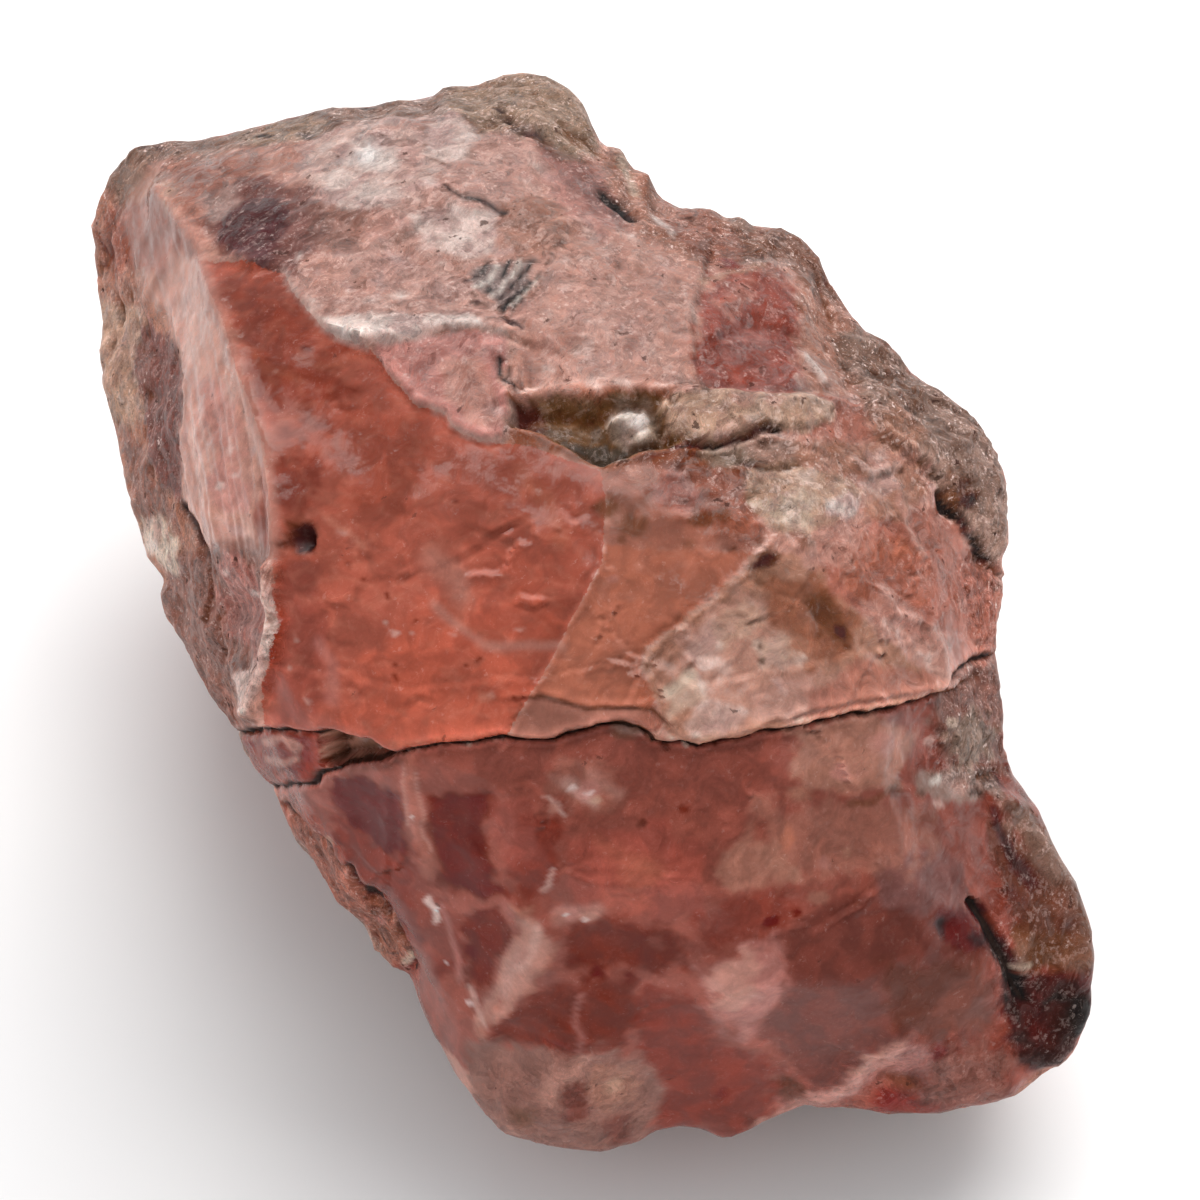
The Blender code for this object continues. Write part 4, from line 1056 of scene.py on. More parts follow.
# Strokes follow a line: line, half width, colour, strength, softness, tearing.
STROKES = [
    (RIDGE_LINE, 4.0, PINK_PALE, 0.55, 5, 1),
    ([(526, 912), (520, 940), (510, 966), (494, 996), (486, 1020)], 2.5, PINK_PALE, 0.45, 7, 3),
    ([(536, 918), (530, 944), (522, 962), (508, 990)], 3.0, FROST_AND_GLINT, 0.45, 7, 3),
    ([(544, 930), (540, 948), (530, 972), (518, 992), (502, 1016)], 2.0, PINK_PALE, 0.4, 6, 3),
    ([(512, 930), (504, 956), (498, 980), (486, 1002)], 0.9, MAROON_DEEP, 0.35, 4, 3),
    ([(524, 950), (514, 976), (502, 1000)], 0.8, ROSE_DEEP, 0.4, 3.5, 3),
    ([(402, 764), (404, 790), (408, 826)], 0.7, FROST_AND_GLINT, 0.3, 3.0, 2),
    ([(418, 770), (420, 800), (424, 830), (430, 852)], 0.7, FROST_AND_GLINT, 0.3, 3.0, 2),
    ([(440, 906), (448, 930), (456, 952), (462, 980)], 1.0, ROSE_DUSTY, 0.5, 4, 1),
    ([(470, 985), (476, 1004), (488, 1020)], 1.0, FROST_AND_GLINT, 0.5, 3, 1),
    ([(585, 774), (604, 782), (620, 792)], 2.0, PINK_PALE, 0.35, 9, 3),
    ([(562, 782), (576, 790), (588, 800)], 3.0, FROST_AND_GLINT, 0.4, 9, 3),
    ([(545, 802), (551, 812), (555, 820)], 1.2, FROST_AND_GLINT, 0.5, 3, 3),
    ([(560, 914), (574, 918), (596, 922)], 5.0, PINK_PALE, 0.35, 9, 3),
    ([(434, 600), (452, 618), (484, 641), (520, 644), (560, 648)], 2.5, PINK_PALE, 0.45, 7, 3),
    ([(330, 520), (352, 532), (366, 545)], 1.5, CORAL_MILK, 0.5, 4, 2),
    ([(440, 556), (458, 572), (466, 592)], 7.0, PINK, 0.42, 16, 3),
    # painted glow inside the glassy face
    ([(230, 330), (262, 366), (300, 380)], 1.4, GLOW, 0.25, 5, 2),
    ([(300, 360), (330, 366), (372, 352)], 1.4, GLOW, 0.2, 5, 2),
    ([(520, 470), (545, 500), (560, 540)], 3.0, GLOW, 0.3, 12, 2),
    ([(320, 640), (335, 668), (330, 700)], 3.0, ROSE_DUSTY, 0.4, 8, 2),
    (LONG_CRACK, 1.9, PITCH, 0.92, 1.7, 1), (CRACK_END, 1.6, IRON_DARK, 0.8, 2.0, 1),
    (LOWER_CRACK, 1.6, PITCH, 0.85, 1.7, 1),
    ([(183, 506), (192, 518), (198, 532), (206, 554)], 3.0, PITCH, 0.8, 3, 1),
    ([(672, 443), (700, 443), (720, 441), (745, 437), (779, 428)], 1.3, PITCH, 0.75, 2, 1),
    ([(740, 461), (760, 470), (782, 470), (800, 463)], 1.1, IRON_DARK, 0.65, 2, 1),
    ([(940, 494), (953, 515), (966, 532), (980, 548), (994, 562)], 2.2, PITCH, 0.8, 2.2, 1),
    ([(498, 110), (508, 120), (516, 130), (525, 137)], 2.0, IRON_DARK, 0.8, 2.5, 1),
    ([(525, 137), (540, 150), (560, 160)], 1.4, IRON, 0.7, 2.5, 1),
    ([(600, 188), (610, 198), (622, 206), (634, 218)], 3.6, PITCH, 0.8, 3.5, 1),
    ([(444, 190), (462, 195), (478, 199)], 1.2, PITCH, 0.8, 2.0, 2),
    ([(468, 196), (490, 205), (506, 213)], 1.7, PITCH, 0.85, 2.0, 2),
    ([(498, 360), (499, 374), (504, 384), (514, 388)], 2.0, PITCH, 0.9, 2.0, 1),
    ([(498, 362), (506, 362), (510, 372), (508, 382)], 1.0, PITCH, 0.7, 1.6, 1),
    ([(502, 320), (512, 325), (522, 329)], 2.0, PITCH, 0.8, 2.0, 1),
    ([(462, 274), (476, 264), (488, 252)], 1.1, PITCH, 0.8, 2.2, 3),
    ([(472, 282), (486, 270), (498, 258)], 1.4, QUARTZ_PALE_AND_HIGHLIGHT, 0.7, 3.0, 3),
    ([(486, 288), (500, 272), (510, 258)], 1.2, PITCH, 0.85, 2.2, 3),
    ([(494, 292), (508, 278), (520, 262)], 1.4, QUARTZ_PALE_AND_HIGHLIGHT, 0.65, 3.0, 3),
    ([(504, 298), (518, 280), (530, 264)], 1.2, PITCH, 0.85, 2.2, 3),
    ([(500, 310), (516, 300), (530, 284)], 2.2, PITCH, 0.9, 2.0, 1),
    ([(512, 306), (526, 292), (540, 278)], 1.4, QUARTZ_PALE_AND_HIGHLIGHT, 0.6, 1.8, 1),
    ([(470, 290), (478, 300), (486, 304)], 1.4, IRON_DARK, 0.7, 1.8, 1),
    ([(500, 306), (514, 296), (528, 284)], 1.6, PITCH, 0.8, 2.0, 2),
    ([(512, 310), (524, 298)], 1.3, PITCH, 0.75, 1.8, 2),
    ([(528, 286), (538, 276), (546, 266)], 1.2, IRON_DARK, 0.75, 1.8, 2),
    ([(544, 270), (554, 256), (562, 242)], 1.1, IRON_DARK, 0.65, 1.8, 2),
    ([(472, 300), (478, 302)], 1.5, PITCH, 0.7, 1.5, 1),
    ([(256, 138), (274, 138)], 1.6, PITCH, 0.8, 1.5, 1),
    ([(300, 137), (314, 137)], 1.4, PITCH, 0.7, 1.5, 1),
    ([(310, 118), (330, 122), (342, 130)], 1.0, IRON_DARK, 0.6, 1.8, 1),
    ([(150, 152), (164, 152)], 1.3, PITCH, 0.65, 1.5, 1),
    ([(360, 107), (372, 108)], 1.2, PITCH, 0.7, 1.5, 1),
    ([(232, 140), (240, 132)], 1.0, IRON_DARK, 0.6, 1.5, 1),
    ([(854, 460), (868, 475), (885, 471)], 2.0, FROST_AND_GLINT, 0.7, 2.5, 1),
    ([(896, 484), (898, 505), (906, 530), (919, 555)], 2.0, PINK_PALE, 0.6, 3, 1),
    ([(878, 586), (886, 604), (894, 616), (912, 619)], 3.0, PINK_PALE, 0.7, 4, 1),
    ([(925, 628), (931, 650), (936, 672)], 3.0, PINK_PALE, 0.7, 4, 1),
    ([(656, 684), (672, 675), (690, 662)], 3.0, CREAM_WHITE_AND_HIGHLIGHT, 0.7, 5, 3),
    ([(852, 806), (876, 798), (902, 784)], 2.0, IRON, 0.6, 4, 1),
    ([(426, 124), (424, 144), (432, 158), (450, 165)], 1.1, IRON, 0.6, 2.0, 2),
    ([(462, 116), (476, 126), (474, 150), (464, 160)], 1.1, IRON, 0.55, 2.0, 2),
    (FOOT_CRACK, 1.6, IRON_DARK, 0.75, 2.4, 1),
    ([(350, 864), (364, 884), (378, 896)], 3.0, PITCH, 0.7, 3, 1),
    ([(998, 818), (1008, 838), (1014, 852), (1022, 868), (1030, 880)], 3.5, IRON_DARK, 0.7, 6, 3),
    ([(540, 1090), (552, 1074), (570, 1056), (582, 1050)], 4.0, PINK, 0.5, 8, 3),
    (KNOB_CRACK, 4.5, PITCH, 0.92, 4.5, 1),
    ([(975, 935), (988, 946), (1000, 962)], 4.0, PITCH, 0.7, 5, 2),
    ([(972, 793), (982, 792)], 3.0, PITCH, 0.65, 3, 1), ([(988, 785), (1004, 784)], 2.5, PITCH, 0.65, 3, 1),
    ([(810, 350), (818, 365), (826, 375)], 2.4, FROST_WHITE_AND_HIGHLIGHT, 0.75, 3, 1),
    ([(655, 214), (668, 224), (672, 234)], 2.0, FROST_WHITE_AND_HIGHLIGHT, 0.7, 2.5, 1),
    ([(622, 160), (630, 178), (636, 190)], 2.4, CREAM_WHITE_AND_HIGHLIGHT, 0.7, 3, 1),
    ([(742, 262), (770, 262), (796, 264)], 1.6, FROST_AND_GLINT, 0.6, 2.5, 1),
    ([(700, 282), (730, 272), (762, 266)], 1.6, CREAM, 0.55, 2.5, 1),
    (FROST_EDGE[1:], 1.6, FROST_WHITE_AND_HIGHLIGHT, 0.35, 4, 2),
    (LOBE_EDGE[5:], 1.4, FROST_AND_GLINT, 0.5, 2.2, 1),
    ([(266, 742), (282, 738), (296, 748)], 3.0, PINK_PALE, 0.6, 4, 2),
    ([(272, 760), (286, 764), (294, 758)], 2.6, PINK_PALE, 0.6, 4, 2),
    # painted glow on the front face
    ([(600, 838), (630, 856), (660, 860)], 3.0, GLOW, 0.15, 12, 3),
    ([(512, 902), (522, 906), (534, 904)], 1.2, TAN_PALE, 0.4, 4, 2),
    ([(408, 760), (411, 785), (414, 812), (421, 838), (430, 870)], 6.0, ROSE, 0.5, 8, 2),
    # painted highlight: a bright white spot low on the left of the front face
    ([(430, 902), (436, 914), (437, 928)], 2.0, FROST_WHITE_AND_HIGHLIGHT, 0.6, 4, 3),
    ([(548, 868), (543, 878), (541, 884)], 1.1, FROST_AND_GLINT, 0.5, 3, 3),
    ([(584, 1004), (580, 1016), (583, 1030), (578, 1040)], 0.8, ROSE_DUSTY, 0.4, 5, 3),
    ([(700, 745), (717, 742), (724, 738)], 2.0, PITCH, 0.7, 2, 1),
    ([(716, 744), (722, 737)], 2.6, PITCH, 0.6, 2, 1),
    ([(652, 742), (664, 744), (676, 741)], 1.8, PITCH, 0.8, 2, 1),
    ([(396, 752), (408, 748)], 2.4, PITCH, 0.8, 2, 1),
    ([(508, 736), (514, 722), (524, 704)], 1.2, IRON_DARK, 0.6, 2, 1),
    (TAN_FOOT, 0.9, IRON, 0.5, 1.6, 1),
    (TAN_TOP, 1.0, CRUST_DARK_AND_SHADE, 0.5, 2.2, 1),
]
# Marks of one colour each, mostly minerals, with painted highlights, glints and glow among them: across, down, half
# height, stretch across, strength.
MARKS = [
    (PITCH, [(303, 540, 21, 0.75, 0.95), (286, 545, 5, 1.6, 0.6), (752, 568, 5, 1.6, 0.6),
        (760, 660, 5, 0.8, 0.65), (842, 646, 6, 0.8, 0.5), (944, 929, 11, 0.7, 0.8),
        (644, 823, 5, 1, 0.55), (748, 1118, 6, 1.3, 0.5), (962, 503, 8, 1, 0.5),
        (978, 612, 2.5, 1, 0.5), (664, 748, 5, 1.3, 0.6), (330, 742, 9, 0.9, 0.8),
        (385, 754, 5, 1.3, 0.6), (330, 762, 4, 1.2, 0.6)]),
    (IRON_DARK, [(300, 532, 15, 0.85, 0.7), (306, 348, 4, 1, 0.6), (596, 508, 5, 1.4, 0.5),
        (762, 562, 9, 1.5, 0.8), (775, 556, 5, 1.4, 0.6), (757, 647, 4, 1, 0.75),
        (732, 549, 3, 1.8, 0.6), (838, 632, 9, 0.8, 0.75), (862, 640, 4, 1, 0.4),
        (790, 1088, 12, 1.2, 0.7), (898, 792, 6, 1.8, 0.5), (922, 795, 6, 1, 0.6),
        (700, 396, 6, 1.3, 0.7), (760, 428, 9, 1.8, 0.6), (802, 392, 6, 1.6, 0.6),
        (1072, 890, 6, 0.6, 0.5), (1000, 585, 3, 1, 0.6), (985, 602, 3, 1, 0.5),
        (968, 588, 3, 1, 0.5)]),
    (IRON, [(608, 508, 9, 1.6, 0.8), (632, 524, 12, 1.3, 0.75), (622, 540, 6, 1, 0.6),
        (700, 520, 9, 1.3, 0.7), (722, 516, 7, 1.3, 0.65), (690, 543, 6, 1.6, 0.4),
        (825, 612, 14, 0.8, 0.7), (812, 600, 8, 1, 0.55), (805, 545, 6, 1.2, 0.55),
        (818, 634, 5, 1, 0.55), (872, 652, 6, 1, 0.45), (618, 268, 4, 1, 0.6),
        (628, 276, 4, 1, 0.4), (640, 268, 4, 1, 0.4), (905, 1078, 8, 1.4, 0.6),
        (945, 645, 3, 1, 0.4), (640, 728, 5, 1.6, 0.6), (372, 750, 6, 1.3, 0.5)]),
    (MAROON_DEEP, [(684, 811, 5, 1.6, 0.6), (772, 923, 6, 1.6, 0.8), (798, 914, 5, 1, 0.8),
        (722, 1092, 6, 1.2, 0.6), (935, 1044, 8, 1.4, 0.5)]),
    (PINK_PALE, [(740, 405, 10, 1.2, 0.6), (770, 405, 9, 1.2, 0.6), (236, 620, 4, 1, 0.5),
        (655, 300, 6, 1.2, 0.5), (962, 790, 8, 1.5, 0.5), (870, 657, 6, 1.6, 0.5),
        (846, 540, 6, 1.4, 0.5), (856, 545, 4, 1.4, 0.4), (898, 502, 5, 1.3, 0.4)]),
    (CREAM, [(795, 412, 8, 1.2, 0.6), (598, 802, 5, 1.3, 0.5), (616, 1078, 7, 1.2, 0.4),
        (330, 840, 5, 0.8, 0.5)]),
    # painted highlights: a glint on the quartz bleb and the sheen on the frosted top
    (SNOW_AND_HIGHLIGHT, [(640, 412, 7, 1.4, 0.55), (366, 155, 11, 1.2, 0.85)]),
    (QUARTZ_DARK, [(604, 444, 9, 1.4, 0.6)]),
    (FROST_WHITE_AND_HIGHLIGHT, [(352, 160, 6, 1.2, 0.6), (380, 160, 5, 1, 0.5), (430, 182, 5, 1.6, 0.45),
        (460, 232, 9, 1.4, 0.5), (398, 295, 6, 1.6, 0.6), (380, 335, 8, 1.4, 0.6),
        (352, 330, 7, 1.4, 0.55), (300, 260, 4, 0.6, 0.5), (465, 152, 5, 0.8, 0.5),
        (152, 545, 8, 0.7, 0.6), (222, 486, 4, 1.2, 0.5), (236, 476, 4, 1.2, 0.35),
        (226, 572, 4, 1, 0.5), (244, 592, 4, 1, 0.5)]),
    (FROST_AND_GLINT, [(455, 130, 5, 1.2, 0.6), (590, 235, 8, 1.2, 0.5), (606, 250, 6, 1.2, 0.4),
        (940, 805, 4, 1.5, 0.6), (930, 742, 5, 0.8, 0.5), (325, 885, 4, 1, 0.6)]),
    (ROSE_DUSTY, [(588, 792, 9, 1.3, 0.5), (570, 915, 9, 1, 0.5), (842, 772, 10, 1.4, 0.5),
        (880, 742, 12, 1.4, 0.45), (826, 866, 8, 1, 0.4), (380, 922, 5, 1, 0.6),
        (612, 578, 4, 1.4, 0.4)]),
    (PINK, [(552, 808, 5, 0.8, 0.5), (590, 918, 6, 1.4, 0.45), (828, 545, 5, 1, 0.4),
        (655, 732, 5, 1, 0.6)]),
    # painted glow on the front face
    (GLOW, [(788, 838, 12, 0.8, 0.45), (640, 872, 16, 1.4, 0.2)]),
    # painted glints and highlights on the front face below the long crack
    (SNOW_AND_HIGHLIGHT, [(572, 788, 3.4, 1.3, 0.35), (590, 795, 2.6, 1.6, 0.35), (436, 912, 4.0, 0.5, 0.6),
        (566, 916, 3.2, 1.4, 0.3), (586, 922, 2.6, 1.6, 0.3), (448, 962, 3.0, 0.6, 0.35),
        (470, 1000, 3.4, 0.6, 0.35), (412, 818, 3.0, 0.6, 0.3)]),
    (IRON_DARK, [(510, 120, 3.5, 1.2, 0.7), (522, 130, 3.2, 1, 0.7), (536, 138, 3.5, 1.2, 0.7), (548, 146, 3, 1, 0.6),
        (516, 142, 2.6, 1, 0.6), (530, 118, 2.4, 1, 0.6), (560, 136, 2.6, 1.4, 0.6), (486, 228, 1.6, 1.5, 0.6),
        (560, 262, 2.0, 0.7, 0.6), (556, 276, 2.0, 0.7, 0.6), (594, 276, 1.8, 0.8, 0.5), (618, 262, 2.4, 1, 0.6),
        (612, 284, 1.8, 1, 0.5), (448, 330, 1.8, 1.6, 0.6), (396, 316, 2.0, 1.4, 0.6), (400, 308, 1.6, 1.2, 0.5),
        (318, 164, 1.8, 0.7, 0.5), (326, 172, 1.4, 0.7, 0.5)]),
    (TAN_PALE, [(800, 797, 8, 1.6, 0.5), (850, 852, 7, 0.8, 0.5), (1066, 955, 10, 1.6, 0.5)]),
    (TAN, [(820, 898, 7, 1.6, 0.5), (655, 738, 8, 1, 0.7)]),
    (QUARTZ_PALE_AND_HIGHLIGHT, [(938, 782, 6, 1.2, 0.7)]),
    (MAROON_DEEP, [(350, 565, 2.8, 1, 0.6), (362, 580, 2.6, 1, 0.6), (388, 596, 2.8, 1.2, 0.7), (415, 622, 2.6, 1.2, 0.6),
        (457, 502, 2.8, 1, 0.6), (557, 530, 2.8, 1, 0.6), (480, 660, 2.6, 1.8, 0.6), (465, 664, 2.4, 1.4, 0.6),
        (397, 664, 2.8, 1, 0.6), (397, 677, 2.6, 1.2, 0.6), (345, 487, 2.8, 0.8, 0.6), (515, 697, 2.8, 1.2, 0.6),
        (414, 398, 3.0, 1, 0.6), (307, 348, 3.0, 1, 0.6), (440, 402, 2.6, 1.4, 0.6)]),
    # painted glints: small sparkles, most of them on the glassy face
    (FROST_AND_GLINT, [(386, 622, 3.0, 0.9, 0.55), (394, 634, 3.2, 1.6, 0.5), (412, 636, 3.0, 1.4, 0.45), (440, 440, 2.8, 0.8, 0.5),
        (490, 693, 3.2, 1.6, 0.35), (345, 534, 2.6, 2.2, 0.4), (454, 636, 2.8, 1.8, 0.45), (520, 630, 2.8, 1.6, 0.45),
        (233, 370, 3.0, 0.8, 0.5), (296, 640, 3.0, 0.7, 0.4), (290, 668, 3.0, 0.7, 0.4), (308, 700, 3.0, 0.8, 0.35)]),
    # small pale spots: the ones on the knob and on the lower left edge are painted highlights
    (CREAM_WHITE_AND_HIGHLIGHT, [(948, 722, 5, 1.2, 0.6), (1018, 962, 6, 1, 0.7), (404, 966, 4, 1, 0.7)]),
    (CRUST_DARK_AND_SHADE, [(528, 1108, 7, 1.2, 0.45), (622, 730, 8, 2.2, 0.6), (354, 752, 10, 1.3, 0.6)]),
    (CORAL_MILK, [(640, 566, 4, 1.3, 0.5), (486, 696, 6, 1.3, 0.5)]),
]


# ---------------------------------------------------------------- laying the colours
def lay(tint, colour, mask):
    return tint + (colour - tint) * mask[:, None]


def lay_patches(tint, patches, places, gate, lump):
    for shape, colour, strength, soft, tearing in patches:
        px, py = places[tearing]
        pts = np.array(shape, dtype=float)
        low, high = pts.min(axis=0) - soft - 2, pts.max(axis=0) + soft + 2
        near = np.nonzero((px > low[0]) & (px < high[0]) & (py > low[1]) & (py < high[1]) & (gate > 0))[0]
        if len(near) == 0:
            continue
        inside = within(px[near], py[near], shape) + 0.75 * soft * lump[near]
        mask = step(inside, -0.55 * soft, 0.55 * soft) * strength * gate[near]
        tint[near] = lay(tint[near], colour, mask)
    return tint


def lay_strokes(tint, strokes, places, gate):
    for line, half, colour, strength, soft, tearing in strokes:
        px, py = places[tearing]
        pts = np.array(line, dtype=float)
        low, high = pts.min(axis=0) - half - soft - 2, pts.max(axis=0) + half + soft + 2
        near = np.nonzero((px > low[0]) & (px < high[0]) & (py > low[1]) & (py < high[1]) & (gate > 0))[0]
        if len(near) == 0:
            continue
        d, _ = to_line(px[near], py[near], line)
        mask = (1 - step(d, half - 0.3 * soft, half + soft)) * strength * gate[near]
        tint[near] = lay(tint[near], colour, mask)
    return tint


def lay_marks(tint, marks, x, y, gate, lump):
    for colour, spots in marks:
        for mx, my, size, wide, strength in spots:
            near = np.nonzero((np.abs(x - mx) < size * wide * 1.8 + 6) & (np.abs(y - my) < size * 1.8 + 6)
                              & (gate > 0))[0]
            if len(near) == 0:
                continue
            d = np.hypot((x[near] - mx) / (size * wide), (y[near] - my) / size)
            mask = (1 - step(d + 0.45 * lump[near], 0.55, 1.25)) * strength * gate[near]
            tint[near] = lay(tint[near], colour, mask)
    return tint


def all_round(s):
    """Colours of the sides that the sheet hides: clear windows, frosted veins, crust and stain."""
    mm, rough = s["mm"], s["rough"]
    warp = mm + 3.2 * np.stack([cloud(mm / 8.0, 2, 801 + 11 * k) for k in range(3)], axis=1)
    zone = cloud(warp / 15.0, 3, 711)
    vein = cloud(warp / np.array((10.0, 6.0, 13.0)), 3, 727)
    small = cloud(warp / 3.2, 3, 733)
    tint = np.tile(ROSE, (len(mm), 1))
    tint = lay(tint, MAROON, step(zone, 0.02, 0.32) * 0.9)
    tint = lay(tint, CORAL, step(-zone, 0.12, 0.45) * 0.8)
    tint = lay(tint, MAROON_MID, step(zone + 0.3 * small, 0.40, 0.80) * 0.75)
    tint = lay(tint, PINK, step(vein + 0.3 * small, 0.10, 0.48) * 0.85)
    tint = lay(tint, FROST_AND_GLINT, step(vein + 0.35 * small, 0.52, 0.95) * 0.8)
    tint = lay(tint, CRUST, step(rough + 0.25 * small, 0.55, 0.95) * 0.75)
    tint = lay(tint, CRUST_PALE, step(rough + 0.5 * small, 0.85, 1.25) * 0.6)
    tint = lay(tint, LAVENDER, step(cloud(warp / 9.0, 2, 747), 0.35, 0.7) * 0.4)
    tint = lay(tint, TAN, step(cloud(warp / 7.0, 2, 751), 0.35, 0.7) * 0.5)
    tint = lay(tint, IRON, step(cloud(warp / 4.5, 3, 757) + 0.35 * (rough - 0.6), 0.62, 0.95) * 0.75)
    # Close to the resting face the stone is laid a little darker.
    low = 1 - step(mm[:, 2], 1.0, 7.0)
    tint = lay(tint, CRUST_DARK_AND_SHADE, low * (0.35 + 0.25 * np.clip(small, -1, 1)))
    return tint


def paint(s):
    """Colour and finish at every point of the stone."""
    mm, rough, around, shown = s["mm"], s["rough"], s["around"], s["shown"]
    places = {0: (s["rx"], s["ry"]), 1: (s["sx"], s["sy"]), 2: (s["x"], s["y"]),
              3: (s["x"] + 13.0 * cloud(mm / 6.5, 3, 761), s["y"] + 13.0 * cloud(mm / 6.5, 3, 763))}
    gate = step(s["facing"], -0.04, 0.10)
    lump = cloud(mm / 1.1, 2, 771)
    hidden = all_round(s)
    tint = hidden.copy()
    tint = lay(tint, PINK, gate)
    tint = lay_patches(tint, PATCHES, places, gate, lump)
    # The torn rim carries the colours of both sides.
    rim = step(0.30 - s["facing"] + 0.18 * lump, 0.0, 0.26) * gate
    tint = lay(tint, 0.5 * (hidden + tint), rim * 0.35)

    # Cloudy and fibrous variation, stronger in the frosted and broken parts.
    drift = cloud(mm / 4.2, 3, 777)
    fleck = cloud(mm / 1.3, 3, 781)
    pale = step(tint.mean(axis=1), 0.16, 0.42)
    tint = tint * (1 + 0.10 * drift + 0.10 * fleck * (0.4 + rough))[:, None]
    tint = lay(tint, SNOW_AND_HIGHLIGHT, step(fleck + 0.4 * drift, 0.35, 0.95) * pale * 0.24)
    tint = lay(tint, LILAC, step(-fleck - 0.3 * drift, 0.30, 0.85) * pale * 0.45)
    # Frost lies in curdled lumps a few millimetres wide, whiter in the middle.
    curd = cloud(mm / 2.3 + 0.25 * cloud(mm / 1.2, 2, 821)[:, None], 3, 811)
    frosty = step(tint.mean(axis=1), 0.26, 0.42)
    tint = lay(tint, FROST_WHITE_AND_HIGHLIGHT, step(curd, 0.10, 0.36) * frosty * 0.26)
    tint = lay(tint, LILAC, step(-curd, 0.04, 0.38) * frosty * 0.60)

    # Hollows are laid towards iron brown and raised edges made paler, both more where the surface is broken.
    h = s["h"]
    hollow = around.blur(h, 5) - h
    wide_hollow = around.blur(h, 24) - h
    darkening = step(hollow, 0.035, 0.16) * (0.12 + 0.55 * rough) + step(wide_hollow, 0.15, 0.55) * 0.25 * rough
    darkening *= 0.75 + 0.5 * lump
    tint = lay(tint, IRON, np.clip(darkening, 0, 0.62))
    edge = step(-hollow, 0.035, 0.15) * (0.15 + 0.4 * rough)
    tint = lay(tint, np.minimum(tint * 1.5 + 0.05, 0.85), np.clip(edge, 0, 0.6))

    # Painted light and shade on the small broken faces: each is made lighter or darker by how it
    # leans towards a light from above, a little to the left and from behind; the most lit get a
    # painted white highlight and the least lit a painted dark shade.
    raw = normals_of(s["points"], s["triangles"])
    calm = np.stack([around.blur(raw[:, k], 7) for k in range(3)], axis=1)
    eye, sight, right, up = sheet_frame()
    lean = (raw - calm) @ (-0.35 * right + 0.75 * up + 0.25 * sight)
    lean = np.clip(lean, -0.35, 0.35)
    tint = tint * (1 + 1.5 * lean)[:, None]
    tint = lay(tint, SNOW_AND_HIGHLIGHT, step(lean, 0.09, 0.28) * (0.15 + 0.35 * rough) * pale)
    tint = lay(tint, CRUST_DARK_AND_SHADE, step(-lean, 0.08, 0.28) * (0.10 + 0.5 * rough))

    # The glassy face has its own layer, so that the frost breaks over it on a crisp line.
    glass = np.tile(CORAL, (len(mm), 1))
    glass = lay_patches(glass, GLASS_PATCHES, places, gate, lump)
    glass = glass * (1 + 0.09 * cloud(mm / 5.0, 3, 791))[:, None]
    wisps = np.abs(cloud(mm / np.array((3.0, 1.6, 3.0)), 2, 795))
    glass = lay(glass, CORAL_MILK, (1 - step(wisps, 0.02, 0.16)) * 0.16)
    # the same painted light and shade on the glassy face
    glass = glass * (1 + 1.3 * lean)[:, None]
    glass = lay_strokes(glass, STROKES, places, gate)
    glass = lay_marks(glass, MARKS, s["sx"], s["sy"], gate, lump)
    tint = lay_strokes(tint, STROKES, places, gate)
    tint = lay_marks(tint, MARKS, s["sx"], s["sy"], gate, lump)

    border = within(s["rx"], s["ry"], GLASS_FACE)
    border = np.where(gate > 0.5, border, -FAR) * 0.0733
    inside = step(border, -0.1, 0.2)

    # How clear the stone is follows its colour: deep colours are windows, pale ones frosted.
    shade = tint * (1 - inside[:, None]) + glass * inside[:, None]
    bright = np.sqrt(np.clip(shade, 0, 1))
    rich = (bright.max(axis=1) - bright.min(axis=1)) / np.maximum(bright.max(axis=1), 0.02)
    stain = step(0.40 - bright.max(axis=1), 0.0, 0.12)
    clear = step(rich, 0.22, 0.48) * (1 - 0.75 * np.clip(rough, 0, 1)) * (1 - stain)
    clear = around.blur(clear, 3)
    # Signed distance to the nearest open crack, and where cracks are.
    crack = np.full(len(mm), FAR)
    for line in (LONG_CRACK, CRACK_END, LOWER_CRACK, KNOB_CRACK, FOOT_CRACK):
        d, side = to_line(s["sx"], s["sy"], line)
        nearer = d < np.abs(crack)
        crack = np.where(nearer, d * side, crack)
    open_here = (1 - step(np.abs(crack), 5.0, 11.0)) * gate
    return dict(tint=tint, glass=glass, border=border, clear=clear, rough=rough,
                crack=crack * 0.0733, open=open_here, darkening=np.clip(darkening + 0.5 * stain, 0, 1))


